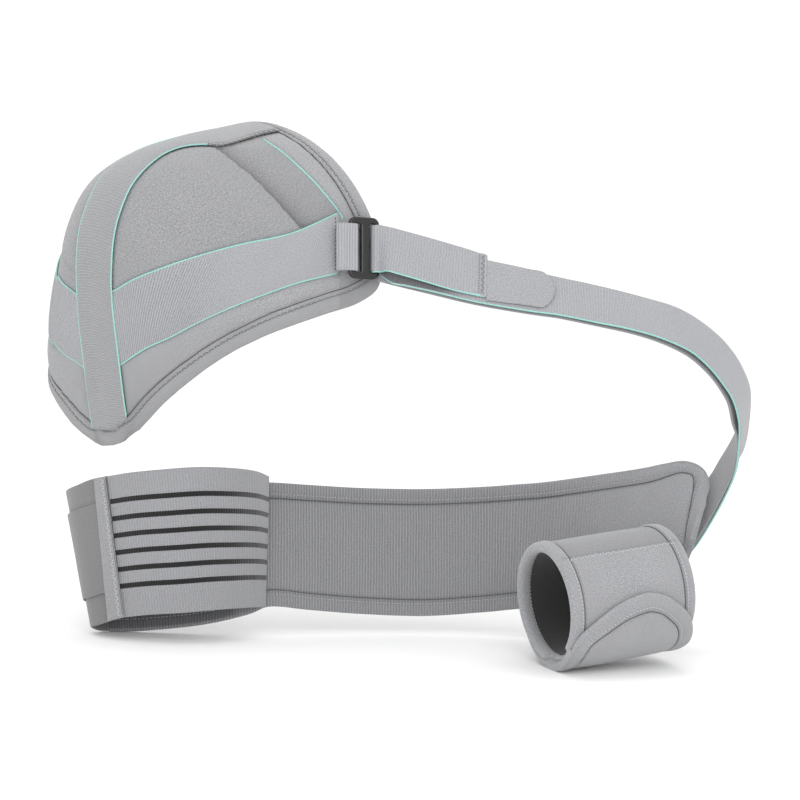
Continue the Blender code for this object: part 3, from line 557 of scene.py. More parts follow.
def finish_of(name, colour, ribs=(), weave=(0.0, 2.0), grain=0.35, mottle=0.07, depth=0.25, rough=0.9, sheen=0.3, stripes=(), groove_shade=0.5, speck=0.1):
    """Cloth: ribs are (axis, pitch mm, share, tilt, fade) with axis u across and v along the piece and fade the share of the
    length where they thin out, weave is (share, pitch mm), and speck is how much its fibres vary."""
    m = bpy.data.materials.new(name)
    m.use_nodes = True
    nt = m.node_tree
    b = nt.nodes["Principled BSDF"]
    b.inputs["Roughness"].default_value = rough
    b.inputs["Sheen Weight"].default_value = sheen
    b.inputs["Sheen Roughness"].default_value = 0.55
    b.inputs["Specular IOR Level"].default_value = 0.15

    def node(kind, **values):
        n = nt.nodes.new(kind)
        for k, val in values.items():
            setattr(n, k, val)
        return n

    def calc(op, a, c=None, d=None):
        n = node("ShaderNodeMath", operation=op)
        for i, x in enumerate((a, c, d)):
            if x is None:
                continue
            if isinstance(x, (int, float)):
                n.inputs[i].default_value = x
            else:
                nt.links.new(x, n.inputs[i])
        return n.outputs[0]

    uv = node("ShaderNodeUVMap", uv_map="mm")
    sep = node("ShaderNodeSeparateXYZ")
    nt.links.new(uv.outputs[0], sep.inputs[0])
    u, v = sep.outputs[0], sep.outputs[1]
    share = node("ShaderNodeUVMap", uv_map="share")
    parts = node("ShaderNodeSeparateXYZ")
    nt.links.new(share.outputs[0], parts.inputs[0])

    def noise(scale, detail=2.0, rough_=0.5):
        n = node("ShaderNodeTexNoise", noise_dimensions="2D")
        n.inputs["Scale"].default_value = scale
        n.inputs["Detail"].default_value = detail
        n.inputs["Roughness"].default_value = rough_
        nt.links.new(uv.outputs[0], n.inputs["Vector"])
        return calc("SUBTRACT", n.outputs[0], 0.5)

    fibres = noise(1.0, 3.0, 0.75)
    height = calc("MULTIPLY", fibres, 2.6 * grain)
    rib_tone = None
    for axis, pitch, weight, tilt, fade in ribs:
        run, other = (u, v) if axis == "u" else (v, u)
        wander = calc("MULTIPLY", noise(0.05, 0.0), 0.8)
        phase = calc("MULTIPLY", calc("ADD", calc("ADD", run, calc("MULTIPLY", other, tilt)), wander), 2 * math.pi / pitch)
        rib = calc("MULTIPLY", calc("SINE", phase), weight)
        if fade:
            gone = node("ShaderNodeMapRange", interpolation_type="SMOOTHSTEP")
            nt.links.new(parts.outputs[1], gone.inputs[0])
            for i, value in enumerate((fade[0], fade[1], 1.0, 0.12)):
                gone.inputs[i + 1].default_value = value
            rib = calc("MULTIPLY", rib, gone.outputs[0])
        height = calc("ADD", height, rib)
        rib_tone = rib if rib_tone is None else calc("ADD", rib_tone, rib)
    if weave[0]:
        k = 2 * math.pi / weave[1]
        cross = calc("MULTIPLY", calc("SINE", calc("MULTIPLY", u, k)), calc("SINE", calc("MULTIPLY", v, k * 1.13)))
        woven = calc("MULTIPLY", cross, weave[0])
        height = calc("ADD", height, woven)
        rib_tone = woven if rib_tone is None else calc("ADD", rib_tone, woven)
    tone = calc("ADD", calc("MULTIPLY", noise(0.035, 3.0, 0.6), mottle * 1.6), calc("MULTIPLY", fibres, speck * 13.0))
    tone = calc("ADD", tone, calc("MULTIPLY", noise(0.5, 1.0, 0.6), speck * 1.5))
    tone = calc("ADD", calc("ADD", tone, calc("MULTIPLY", noise(0.25, 2.0, 0.6), mottle * 0.9)), 1.0)
    # painted shade in the grooves of the ribs and weave: the colour is darker where they are lower
    if rib_tone is not None:
        tone = calc("ADD", tone, calc("MULTIPLY", rib_tone, groove_shade * 0.26))
    # painted light and shade from the mesh's tone attribute
    painted_light_node = node("ShaderNodeAttribute", attribute_name="tone")
    tone = calc("MULTIPLY", tone, painted_light_node.outputs["Fac"])
    base = node("ShaderNodeCombineColor")
    r, g, bl = colour
    if stripes:
        where = calc("ADD", parts.outputs[0], calc("MULTIPLY", calc("SINE", calc("MULTIPLY", v, 2 * math.pi / 2.1)), 0.0014))
        dark = None
        for at, half in stripes:
            one = calc("COMPARE", where, at, half)
            dark = one if dark is None else calc("MAXIMUM", dark, one)
        tone = calc("MULTIPLY", tone, calc("SUBTRACT", 1.0, calc("MULTIPLY", dark, 0.965)))
        height = calc("SUBTRACT", height, calc("MULTIPLY", dark, 0.5))
    for socket, value in zip(base.inputs, (r, g, bl)):
        nt.links.new(calc("MULTIPLY", tone, value), socket)
    nt.links.new(base.outputs[0], b.inputs["Base Color"])
    bump = node("ShaderNodeBump")
    bump.inputs["Strength"].default_value = 0.85
    bump.inputs["Distance"].default_value = depth * MM
    nt.links.new(height, bump.inputs["Height"])
    nt.links.new(bump.outputs[0], b.inputs["Normal"])
    return m


def plain(name, colour, rough, sheen=0.0, coat=0.0, grain=0.0, spec=0.4):
    """Thread, cord or moulded plastic: one colour, a little uneven, with a fine grain."""
    m = bpy.data.materials.new(name)
    m.use_nodes = True
    nt = m.node_tree
    b = nt.nodes["Principled BSDF"]
    b.inputs["Roughness"].default_value = rough
    b.inputs["Sheen Weight"].default_value = sheen
    b.inputs["Coat Weight"].default_value = coat
    b.inputs["Coat Roughness"].default_value = 0.3
    b.inputs["Specular IOR Level"].default_value = spec
    where = nt.nodes.new("ShaderNodeTexCoord")
    n = nt.nodes.new("ShaderNodeTexNoise")
    n.inputs["Scale"].default_value = 700.0
    n.inputs["Detail"].default_value = 3.0
    nt.links.new(where.outputs["Object"], n.inputs["Vector"])
    mix = nt.nodes.new("ShaderNodeMix")
    mix.data_type = "RGBA"
    mix.inputs[6].default_value = (*[c * 0.85 for c in colour], 1)
    mix.inputs[7].default_value = (*[min(c * 1.15, 1) for c in colour], 1)
    nt.links.new(n.outputs[0], mix.inputs[0])
    nt.links.new(mix.outputs[2], b.inputs["Base Color"])
    if grain:
        bump = nt.nodes.new("ShaderNodeBump")
        bump.inputs["Strength"].default_value = 0.5
        bump.inputs["Distance"].default_value = grain * MM
        nt.links.new(n.outputs[0], bump.inputs["Height"])
        nt.links.new(bump.outputs[0], b.inputs["Normal"])
    return m


def grey(level, tint=0.0):
    """Linear base colour for a cloth that looks this grey (0-255) under the studio light; tint leans to blue."""
    lin = ((level / 255 + 0.055) / 1.055) ** 2.4 * CLOTH_GAIN
    return (lin * (1 - tint), lin * (1 - tint * 0.7), lin * (1 + tint))


CLOTH_GAIN = 0.59
CUP_CLOTH = finish_of("cup_cloth", grey(175, 0.015), weave=(0.5, 2.2), grain=0.6, mottle=0.06, depth=0.26)
CUP_INSIDE = finish_of("cup_inside", grey(160, 0.01), weave=(0.6, 2.6), grain=0.4, mottle=0.05, depth=0.2)
ARCH_CLOTH = finish_of("arch_cloth", grey(179, 0.02), ribs=(("v", 2.3, 0.8, 0.0, (0.35, 0.75)),), grain=0.45, mottle=0.05, depth=0.28, speck=0.08)
SIDE_CLOTH = finish_of("side_cloth", grey(190, 0.03), ribs=(("v", 2.5, 1.0, 0.42, (0.3, 0.62)),), grain=0.5, mottle=0.05, depth=0.32, speck=0.08, groove_shade=0.8)
WEB_CLOTH = finish_of("webbing_cloth", grey(196, 0.03), ribs=(("v", 2.3, 1.0, 0.0, None),), grain=0.2, mottle=0.03, depth=0.4, speck=0.05)
STRAP_CLOTH = finish_of("strap_cloth", grey(189, 0.03), ribs=(("v", 2.3, 0.55, 0.0, (0.42, 0.56)), ("u", 1.6, 0.12, 0.0, None)), grain=0.3, mottle=0.04, depth=0.28, speck=0.08)
TAB_CLOTH = finish_of("tab_cloth", grey(186, 0.025), weave=(0.6, 2.0), grain=0.35, mottle=0.045, depth=0.2, sheen=0.4, speck=0.08)
STRIP_CLOTH = finish_of("strip_cloth", grey(176, 0.02), weave=(0.6, 2.0), grain=0.5, mottle=0.05, depth=0.2)
STRAP_INNER = finish_of("strap_inner", grey(172, 0.02), ribs=(("v", 2.2, 0.2, 0.0, None),), grain=0.3, mottle=0.04, depth=0.2, speck=0.05)
BELT_CLOTH = finish_of("belt_cloth", grey(168, 0.025), ribs=(("v", 2.5, 1.0, 0.0, (0.62, 0.9)),), grain=0.5, mottle=0.05, depth=0.4, speck=0.08, groove_shade=0.8)
PANEL_CLOTH = finish_of("panel_cloth", grey(143, 0.01), ribs=(("v", 2.2, 0.3, 0.0, None),), grain=0.35, mottle=0.05, depth=0.2, speck=0.07)
STRIPES = [(1 - f, 0.0182) for f in (0.175, 0.299, 0.421, 0.543, 0.664, 0.785)]
ELASTIC_CLOTH = finish_of("elastic_cloth", grey(176, 0.025), ribs=(("v", 2.3, 0.6, 0.0, None), ("u", 1.6, 0.15, 0.0, None)), grain=0.35, mottle=0.045, depth=0.28,
                          stripes=STRIPES, speck=0.07)
CUFF_CLOTH = finish_of("cuff_cloth", grey(183, 0.025), ribs=(("v", 2.2, 0.15, 0.0, None),), weave=(0.5, 2.1), grain=0.6, mottle=0.07, depth=0.24, sheen=0.4)
DARK_LINING = finish_of("dark_lining", (0.026, 0.026, 0.027), weave=(0.6, 2.4), grain=0.5, mottle=0.1, depth=0.2)
TEAL = plain("teal_piping", (0.25, 0.50, 0.46), 0.6, sheen=0.2)
THREAD = plain("grey_thread", grey(122, 0.02), 0.7, sheen=0.2)
PALE_THREAD = plain("pale_thread", grey(226, 0.03), 0.65, sheen=0.2)
# dark thread for stitches, also used for the dark cords that paint shade into seam grooves
DARK_THREAD_AND_SEAM_SHADE = plain("dark_thread_and_seam_shade", grey(96, 0.02), 0.8)
PLASTIC = plain("black_plastic", (0.010, 0.010, 0.011), 0.24, coat=0.2, grain=0.02, spec=0.4)

# ================================================================ shoulder cup

def half_line(row, side, at):
    """Points of a section of one half at the given distances (mm) from the middle plane, as functions of its length."""
    p = cup_section(row, side)
    along = np.concatenate([[0], np.cumsum(np.linalg.norm(np.diff(p, axis=0), axis=1))])
    s = at(along[-1])
    return np.stack([np.interp(s, along, p[:, k]) for k in range(3)], axis=1), along[-1]


def band_half(length):
    return min(ARCH_HALF, 0.55 * length)


BAND_COLS, FIELD_COLS, RIM_COLS = 11, 50, 15


def column_places(length):
    """Columns of one half: under the crown band, over the panels, and closer together at the bound edge."""
    band = band_half(length)
    rim = length - min(15.0, 0.35 * length)
    return np.concatenate([np.linspace(0, band, BAND_COLS), np.linspace(band, rim, FIELD_COLS + 1)[1:], np.linspace(rim, length - 2.0, RIM_COLS + 1)[1:]])


t = np.linspace(0, 1, 215)
cup_rows = 8 * (0.0055 + 0.989 * (t - 0.045 * np.sin(2 * math.pi * t)))
shell = []
for row in cup_rows:
    near_half, _ = half_line(row, 1, column_places)
    far_half, _ = half_line(row, -1, column_places)
    shell.append([in_cup(*p) for p in np.concatenate([far_half[:0:-1], near_half])])
shell = np.array(shell)                                   # outer face, before padding
MID = shell.shape[1] // 2
LAST = shell.shape[1] - 1
from_mid = np.linalg.norm(shell - shell[:, MID:MID + 1], axis=2)
from_tip = np.linalg.norm(shell - shell[:1], axis=2)
tip_down = unit(shell[0, MID] - shell[5, MID])
tip_side = np.sign(np.arange(shell.shape[1]) - MID)[None]
tip_out = np.minimum(from_mid / from_mid[0].max(), 1.0) ** 2
round_off = np.where(tip_side > 0, (2.8 - 0.6 * tip_out) * (1 - ramp(from_tip, 0, 30)), (2.8 + 2.2 * tip_out) * (1 - ramp(from_tip, 12, 62)))
shell = shell + tip_down * round_off[..., None]            # the low end is a rounded tip
settle = (1 - ramp(np.arange(shell.shape[0]), 4, 26))[:, None, None]
for _ in range(140):                                      # where the two halves meet there, the ridge runs out
    shell[:, 1:-1] = shell[:, 1:-1] + (shell[:, :-2] - 2 * shell[:, 1:-1] + shell[:, 2:]) / 4 * settle
shell_n = normals(shell)
if (shell[100, MID + 40] - in_cup(20, 0, -90)) @ shell_n[100, MID + 40] < 0:
    shell_n = -shell_n
SHY = 1.3                                                 # the padding stands this much proud of the plain face
shell = shell - shell_n * SHY
plain_cup = Skin(shell, shell_n)


def strip(line):
    """A drawn line as dense points on the plain cup."""
    return dense(plain_cup.drawn(line, 80)[0])


SIDE = smooth(SIDE_BAND, np.linspace(0, len(SIDE_BAND) - 1, 60))
band_top, band_low = strip(SIDE[:, :2]), strip(SIDE[:, 2:])
FOLD = [(217, 150), (233, 163), (252, 178), (275, 201), (301, 230)]
FACING = [(262, 139), (276, 148), (290, 159), (313, 181), (327, 197), (338, 211), (343, 220)]
fold, facing = strip(FOLD), strip(FACING)
ARCH_SHOWN = [(127, 414), (121, 363), (114, 301), (113.5, 265), (117, 230), (127, 199), (138, 180), (157, 161), (176, 151), (195, 147.5), (212, 147.5),
              (221, 149.3), (248, 141), (264, 136.2)]
ARCH_HIDDEN = [(91.5, 419.5), (88.5, 395), (85.4, 367.7), (80.4, 325.4), (78.3, 292), (78, 260), (81.3, 230), (87.5, 210), (97.5, 187.5)]
places = np.array([column_places(half_line(r, 1, column_places)[1]) for r in cup_rows])


def drawn_widths(line):
    """Rows and half widths of the crown band along a drawn edge."""
    at = plain_cup.cells(plain_cup.drawn(line, 90)[0])
    at = at[np.argsort(at[:, 0])]
    wide = np.array([np.interp(abs(j - MID), np.arange(places.shape[1]), places[int(round(i))]) for i, j in at])
    for _ in range(6):
        wide[1:-1] = (wide[:-2] + 2 * wide[1:-1] + wide[2:]) / 4
    return np.interp(at[:, 0], np.arange(len(cup_rows)), cup_rows), wide


SHOWN_WIDTHS, HIDDEN_WIDTHS = drawn_widths(ARCH_SHOWN), drawn_widths(ARCH_HIDDEN)


def shown_half(row, length, widths=SHOWN_WIDTHS):
    """Half width of the crown band at a section: as drawn, or as cut where nothing is drawn."""
    return min(float(np.interp(row, *widths)), 0.62 * length + 1.5)


def hidden_half(row, length):
    return shown_half(row, length, HIDDEN_WIDTHS)


arch_edge = np.array([in_cup(*half_line(r, 1, lambda ln: np.array([shown_half(r, ln)]))[0][0]) for r in np.linspace(0.05, 7.95, 300)])
arch_edge = dense(arch_edge)

half = shell[:, MID:]
half_n = shell_n[:, MID:]
free = dense(np.concatenate([shell[::-1, LAST] + 0, shell[0, ::-1][0:LAST - MID]]), 0.8)
neck = dense(shell[-1, MID:], 0.8)
from_low, from_neck = near(half, free), near(half, neck)
from_edge = np.minimum(from_low, from_neck)
lowness = ramp(from_neck - from_low, -12, 12)
# GROOVE reaches the seam's groove, where a dark cord paints its shade
GROOVE = 11.0 + 3.0 * lowness                              # from the bound edge to the dark seam
SEW = GROOVE - 4.0                                         # and to the sewn line beside it

hu, hv = project(half)
top_v = np.interp(hu, SIDE[:, 0], SIDE[:, 1])
low_v = np.interp(hu, SIDE[:, 2], SIDE[:, 3])
in_side = (hv > top_v) & (hv < low_v) & (hu > 112) & (hu < 338.5)
in_arch = places < np.array([shown_half(r, half_line(r, 1, column_places)[1]) for r in cup_rows])[:, None]
under = in_side | in_arch
seams = np.concatenate([band_top, band_low, arch_edge])
from_seam = np.minimum(near(half, seams), np.maximum(from_edge - GROOVE, 0))
puff = 1.9 * (1 - np.exp(-from_seam / 5.5))
puff += (0.45 * lumps(half, 42) + 0.22 * lumps(half, 17, 5.3) + 0.10 * lumps(half, 7, 9.1)) * ramp(from_seam, 0.5, 7)

# the pleat: the panel's edge stands over the recessed piece beside it
lengths = [half_line(r, 1, column_places)[1] for r in cup_rows]
past_hidden = places - np.array([hidden_half(r, ln) for r, ln in zip(cup_rows, lengths)])[:, None]
from_fold, from_facing = near(half, fold), near(half, facing)
fold_u = np.interp(hv, [p[1] for p in FOLD], [p[0] for p in FOLD])
facing_u = np.interp(hv, [p[1] for p in FACING], [p[0] for p in FACING])
beside = ramp(hv, 146, 152) * (1 - ramp(hv, 228, 233))
right = ramp(hu - fold_u, -1.5, 1.5)
pleat = right * (-4.6 * np.exp(-from_fold / 14.0) * ramp(from_facing, 0, 9) * (hu < facing_u)) + (1 - right) * 1.2 * np.exp(-from_fold / 6.0)
puff += pleat * beside * (~under)
puff -= 0.8 * np.exp(-(from_facing / 1.2) ** 2) * (~under)
puff = np.where(under, 0.2, puff + 0.2)

# bound edge: a roll, a sewn strip beside it and the seam's groove
d = from_edge
roll = 0.2 + 2.3 * np.sqrt(np.clip(1 - ((d - SEW * 0.46) / (SEW * 0.56)) ** 2, 0, 1))
flat_strip = 1.3 - 0.5 * np.exp(-((d - SEW) / 0.9) ** 2)
bound = np.where(d < SEW, np.maximum(roll, 0.2), flat_strip)
bound += 0.18 * lumps(half, 9, 3.3)
lift_in = np.where(d < GROOVE, bound, puff)
lift_in -= 0.9 * np.exp(-((d - GROOVE) / 0.8) ** 2)
lift_hidden = np.where(d < GROOVE, lift_in, np.where(past_hidden < 0, 0.2, 0.2 + (lift_in - 0.2) * (1 - np.exp(-np.maximum(past_hidden, 0) / 5))))
proud = np.concatenate([lift_hidden[:, :0:-1], lift_in], axis=1)
# Painted light and shade on the cup: darker along the seam's groove and the sewn line, lighter below the side band
# where the cup faces down, and lighter right of the facing line
painted_light_in = 1 - 0.22 * np.exp(-((d - GROOVE) / 1.3) ** 2) - 0.10 * np.exp(-((d - SEW) / 1.0) ** 2)
painted_light_in += 0.13 * ramp(hv - low_v, -2, 6) * (hu < 338) * (~in_arch) + 0.13 * ramp(hu - facing_u, -1, 5) * (hv < 225) * (~in_arch)
# painted shade beside the bands' seams and in the pleat's recess beside the fold
painted_light_in -= 0.20 * np.exp(-(from_seam / 1.6) ** 2) * (~under) * (d > GROOVE + 1)
painted_light_in -= 0.42 * np.exp(-from_fold / 8.0) * right * beside * (~under) + 0.05 * right * beside * (~under) * (hu < facing_u)
cup_painted_light = np.concatenate([painted_light_in[:, :0:-1], painted_light_in], axis=1)

cup_ob, cup = slab("padded_cup", shell - shell_n * (CUP_WALL - SHY) / 2, CUP_WALL - SHY, [CUP_CLOTH, CUP_INSIDE], front=proud,
                   toward=shell_n, lined=True, tone=cup_painted_light, stands_for=["shoulder_cup"])


def mirrored(points, lift):
    """The same line on the hidden half."""
    cells = plain_cup.cells(points)
    return cup.at(cells[:, 0], LAST - cells[:, 1], lift)


# crown band
def arch_row(row, ats):
    out = []
    for side in (-1, 1):
        want = ats[ats * side > 0] if side < 0 else ats[ats >= 0]
        wide = shown_half if side > 0 else hidden_half
        p, _ = half_line(row, side, lambda ln: np.sort(np.abs(want)) * wide(row, ln) / ARCH_HALF)
        p = [in_cup(*q) for q in p]
        out += p[::-1] if side < 0 else p
    return out


arch_at = np.linspace(-ARCH_HALF + 0.6, ARCH_HALF - 0.6, 23)
arch_rows = np.linspace(0.22, 7.75, 200)
arch_base = np.array([arch_row(r, arch_at) for r in arch_rows])
arch_n = normals(arch_base)
if arch_n[95, 11] @ (arch_base[95, 11] - in_cup(20, 0, -90)) < 0:
    arch_n = -arch_n
free_all = dense(np.concatenate([shell[::-1, LAST], shell[0, ::-1], shell[:, 0]]), 0.8)
neck_all = dense(shell[-1], 0.8)


def tucked(points):
    """How much of the binding's width a point is clear of, from the free edges: 0 at the seam and 1 past it."""
    return np.minimum(ramp(near(points, free_all), 12.8, 14.2), ramp(near(points, neck_all), 9.8, 11.2))


sink = -3.4 * (1 - tucked(arch_base))[..., None]
crowned = 0.7 * (1 - (arch_at / ARCH_HALF) ** 4)[None] + 0.25 * lumps(arch_base, 30, 1.7)
sheet_lift = BAND_GAP + BAND_WALL / 2
arch_ob, arch_skin = slab("arch_band", arch_base + arch_n * (sheet_lift + sink), BAND_WALL, [ARCH_CLOTH], front=crowned,
                          toward=arch_n, stands_for=["cup_arch_band"])

piping = Bundle()
arch_count = len(arch_rows)
line = arch_base[:, 0] - unit(arch_base[:, 1] - arch_base[:, 0]) * 0.7
clear = np.nonzero(tucked(line) > 0.5)[0]
first, last = clear[0], clear[-1] + 1
piping.tube(line[first:last] + arch_n[first:last, 0] * 1.3, 0.68, up=arch_n[first:last, 0])
shown = arch_base[:, -1] + unit(arch_base[:, -1] - arch_base[:, -2]) * 0.7
su, sv = project(shown)
stop = int(np.argmax(su > 212)) if (su > 212).any() else arch_count
first = np.nonzero(tucked(shown) > 0.5)[0][0]
piping.tube(shown[first:stop] + arch_n[first:stop, -1] * 1.3, 0.68, up=arch_n[first:stop, -1])

# side bands: the shown one as drawn, the hidden one the same way on the other half
plain_shift = sheet_lift
fine = cup_grid(np.linspace(0, 8, 65), 27)
cup_tree = tree_of(fine)
shown_band = []
SIDE_DRAWN = [(108, 293, 115.5, 368.5)] + SIDE_BAND
for u1, v1, u2, v2 in smooth(SIDE_DRAWN, np.linspace(0.0, len(SIDE_DRAWN) - 1.02, 120)):
    line = []
    for f in np.linspace(0.012, 0.988, 25):
        p, n = drawn_on(plain_cup.tree, u1 + (u2 - u1) * f, v1 + (v2 - v1) * f)
        line.append(p)
    shown_band.append(line)
shown_band = np.array(shown_band)


def side_band(name, base, node, toward):
    n = normals(base)
    if (n * (base - in_cup(20, 0, -90))).sum(2).mean() < 0:
        n = -n
    share = np.linspace(-1, 1, base.shape[1])
    front = 0.8 * (1 - share ** 4)[None] + 0.25 * lumps(base, 26, 2.2)
    ob, skin = slab(name, base + n * plain_shift, BAND_WALL, [SIDE_CLOTH], front=front, toward=n, stands_for=[node])
    for k, sign in ((0, 1), (-1, -1)):
        away = unit(base[:, k] - base[:, k + sign])
        piping.tube(base[:, k] + away * 0.5 + n[:, k] * 1.3, 0.66, up=n[:, k])
    return skin, n


front_skin, _ = side_band("side_band_front", shown_band, "cup_side_band_front", None)
fine_rows = np.interp(np.linspace(0, 8, 65), cup_rows, np.arange(len(cup_rows)))     # rows of the fine grid among the shell's
edges = []
for (u1, v1, u2, v2), (low1, low2) in list(zip(SIDE_BAND, BACK_DROP))[2:]:
    ends_at = plain_cup.cells(np.array([drawn_on(plain_cup.tree, u1, v1)[0], drawn_on(plain_cup.tree, u2, v2)[0]]))
    as_fine = np.interp(ends_at[:, 0], fine_rows, np.arange(65))
    edges.append([np.interp(as_fine[0] - low1, np.arange(65), fine_rows), ends_at[0, 1], np.interp(as_fine[1] - low2, np.arange(65), fine_rows), ends_at[1, 1]])
sliver = []
for up_edge, low_edge in (((86, 297.5), (93, 372)), ((77, 293), (84.5, 366.5)), ((66, 284.5), (68, 355.5)), ((59.5, 276.5), (54.5, 341.5))):
    ends_at = plain_cup.cells(np.array([drawn_on(plain_cup.tree, *up_edge)[0], drawn_on(plain_cup.tree, *low_edge)[0]]))
    sliver.append([ends_at[0, 0], LAST - ends_at[0, 1], ends_at[1, 0], LAST - ends_at[1, 1]])
edges = sliver + edges
hidden = smooth(edges, np.linspace(0, len(edges) - 1.02, 120))
f = np.linspace(0.012, 0.988, 25)[None]
hidden_i = hidden[:, :1] + (hidden[:, 2:3] - hidden[:, :1]) * f
hidden_j = hidden[:, 1:2] + (hidden[:, 3:] - hidden[:, 1:2]) * f
hidden_band = plain_cup.at(hidden_i.reshape(-1), LAST - hidden_j.reshape(-1))[0].reshape(120, 25, 3)
side_band("side_band_back", hidden_band, "cup_side_band_back", None)

# facing line, on both halves
p, n = cup.drawn(FACING, 60, 0.25)
piping.tube(p, 0.72, up=n)
p, n = mirrored(plain_cup.drawn(FACING, 60)[0], 0.25)
piping.tube(p, 0.72, up=n)


# the bound edge's sewn line, and a dark cord in the seam's groove that paints its shade, as lines of even distance from
# the edge
def contour(f):
    """Cells of the shown half where f passes 0, from the neck's middle round to the arm's."""
    pts = []
    for i in range(f.shape[0]):
        for j in np.nonzero((f[i, :-1] > 0) != (f[i, 1:] > 0))[0]:
            pts.append((i, j + f[i, j] / (f[i, j] - f[i, j + 1])))
    for j in range(f.shape[1]):
        for i in np.nonzero((f[:-1, j] > 0) != (f[1:, j] > 0))[0]:
            pts.append((i + f[i, j] / (f[i, j] - f[i + 1, j]), j))
    pts = np.array(pts)
    turn = np.arctan2((pts[:, 0] - 0.55 * f.shape[0]) / f.shape[0], pts[:, 1] / f.shape[1])
    pts = pts[np.argsort(-turn)]
    for _ in range(3):
        pts[1:-1] = (pts[:-2] + 2 * pts[1:-1] + pts[2:]) / 4
    return pts


cup_thread, dark_thread_and_seam_shade = Bundle(), Bundle()
for away_from_edge, use in ((GROOVE, "seam"), (SEW, "sewn")):
    line_cells = contour(from_edge - away_from_edge)
    for side in (1, -1):
        p, n = cup.at(line_cells[:, 0], MID + side * line_cells[:, 1], 0.12 if use == "sewn" else 0.0)
        line = even(np.concatenate([p, n], axis=1), 520)
        # a dark cord sunk in the seam's groove: painted shade
        if use == "seam":
            dark_thread_and_seam_shade.tube(line[:, :3] + unit(line[:, 3:]) * 0.15, 0.36, sides=6, up=unit(line[:, 3:]))
        else:
            cup_thread.sew(line[:, :3], line[:, 3:], pitch=2.7, radius=0.42, zig=0.95)

# the inner arch edge past the piping, and the pleat's short seam at the top, are oversewn
last = np.nonzero(tucked(shown) > 0.5)[0][-1]
past = shown[stop - 2:last]
past_n = arch_n[stop - 2:last, -1]
cup_thread.sew(past + past_n * 1.75, past_n, pitch=2.6, zig=1.3)
cup_thread.sew(past + past_n * 1.75, past_n, pitch=2.6, zig=1.3, side=3.4)
p, n = front_skin.at(np.full(60, front_skin.grid.shape[0] - 2.2), np.linspace(0.8, front_skin.grid.shape[1] - 1.8, 60), 0.1)
dark_thread_and_seam_shade.sew(p, n, pitch=3.0, length=1.7, radius=0.4)

# ================================================================ ring, webbing and strap

seat, face = drawn_on(cup_tree, *RING_UV)
high, _ = drawn_on(cup_tree, RING_UV[0], RING_UV[1] - 24)
low, _ = drawn_on(cup_tree, RING_UV[0], RING_UV[1] + 24)
RING_Y = (high - low) / np.linalg.norm(high - low)
across = np.cross(RING_Y, face)
RING_X = across / np.linalg.norm(across)
if RING_X[0] < 0:
    RING_X = -RING_X
RING_Z = np.cross(RING_X, RING_Y)
RING_AT = seat + RING_Z * (BAND_GAP + BAND_WALL + LAYER_GAP + WEB_WALL + LAYER_GAP + RING_WALL / 2 + 2.6)


def by_ring(x, y, z):
    return RING_AT + RING_X * x + RING_Y * y + RING_Z * z


outline = bpy.data.curves.new("ring_outline", "CURVE")
outline.dimensions = "2D"
outline.fill_mode = "BOTH"
outline.extrude = 0.25 * MM
outline.bevel_depth = 1.75 * MM
outline.bevel_resolution = 5
outline.offset = -1.75 * MM


def loop(x1, y1, x2, y2, r, steps=6):
    """A rounded rectangle as one closed spline."""
    pts = []
    for cx, cy, start in ((x2 - r, y2 - r, 0), (x1 + r, y2 - r, 90), (x1 + r, y1 + r, 180), (x2 - r, y1 + r, 270)):
        for k in range(steps + 1):
            a = math.radians(start + 90 * k / steps)
            pts.append((cx + r * math.cos(a), cy + r * math.sin(a)))
    s = outline.splines.new("POLY")
    s.points.add(len(pts) - 1)
    for p, (x, y) in zip(s.points, pts):
        p.co = (x * MM, y * MM, 0, 1)
    s.use_cyclic_u = True


half_w, half_h = RING_SIZE[0] / 2, RING_SIZE[1] / 2
loop(-half_w, -half_h, half_w, half_h, 6.0, 10)
loop(RING_BARS[0][1], -half_h + RING_END, RING_BARS[1][0], half_h - RING_END, 1.6, 4)
loop(RING_BARS[1][1], -half_h + RING_END, RING_BARS[2][0], half_h - RING_END, 1.6, 4)
drawn_ring = bpy.data.objects.new("ring_outline", outline)
bpy.context.scene.collection.objects.link(drawn_ring)
bpy.context.view_layer.update()
ring_mesh = bpy.data.meshes.new_from_object(drawn_ring.evaluated_get(bpy.context.evaluated_depsgraph_get()))
bpy.data.objects.remove(drawn_ring, do_unlink=True)
ring_mesh.transform(Matrix([[*row, at * MM] for row, at in zip(np.stack([RING_X, RING_Y, RING_Z], axis=1), RING_AT)] + [[0, 0, 0, 1]]))
bm = bmesh.new()
bm.from_mesh(ring_mesh)
bmesh.ops.remove_doubles(bm, verts=bm.verts, dist=5e-6)
bmesh.ops.recalc_face_normals(bm, faces=bm.faces)
bm.to_mesh(ring_mesh)
bm.free()
ring_mesh.materials.clear()
ring_mesh.shade_smooth()
put(ring_mesh, "three_bar_slide", [PLASTIC], stands_for=["slide_ring"])

web_z = RING_WALL / 2 + LAYER_GAP + 0.2 + WEB_WALL / 2
bar = RING_BARS[0]
web_path = [(-23.4, -web_z + 3.4), (-20.8, -web_z + 6.6), (bar[0] + 1, web_z), (bar[1] - 1.5, web_z)]
web_path += [(bar[1] - 0.7 + (LAYER_GAP + WEB_WALL / 2 + 1.0) * math.sin(a), web_z * math.cos(a)) for a in (0.7, 1.57, 2.44)]
web_path += [(bar[1] - 1.5, -web_z), (bar[0] + 1, -web_z), (-21.3, -web_z)]
web = [[by_ring(x, y, z) for y in np.linspace(-18.2, 18.2, 17)] for x, z in through(web_path, 70)]
web_ob, web_skin = slab("webbing_round_bar", web, WEB_WALL, [WEB_CLOTH], stands_for=["webbing_loop"])

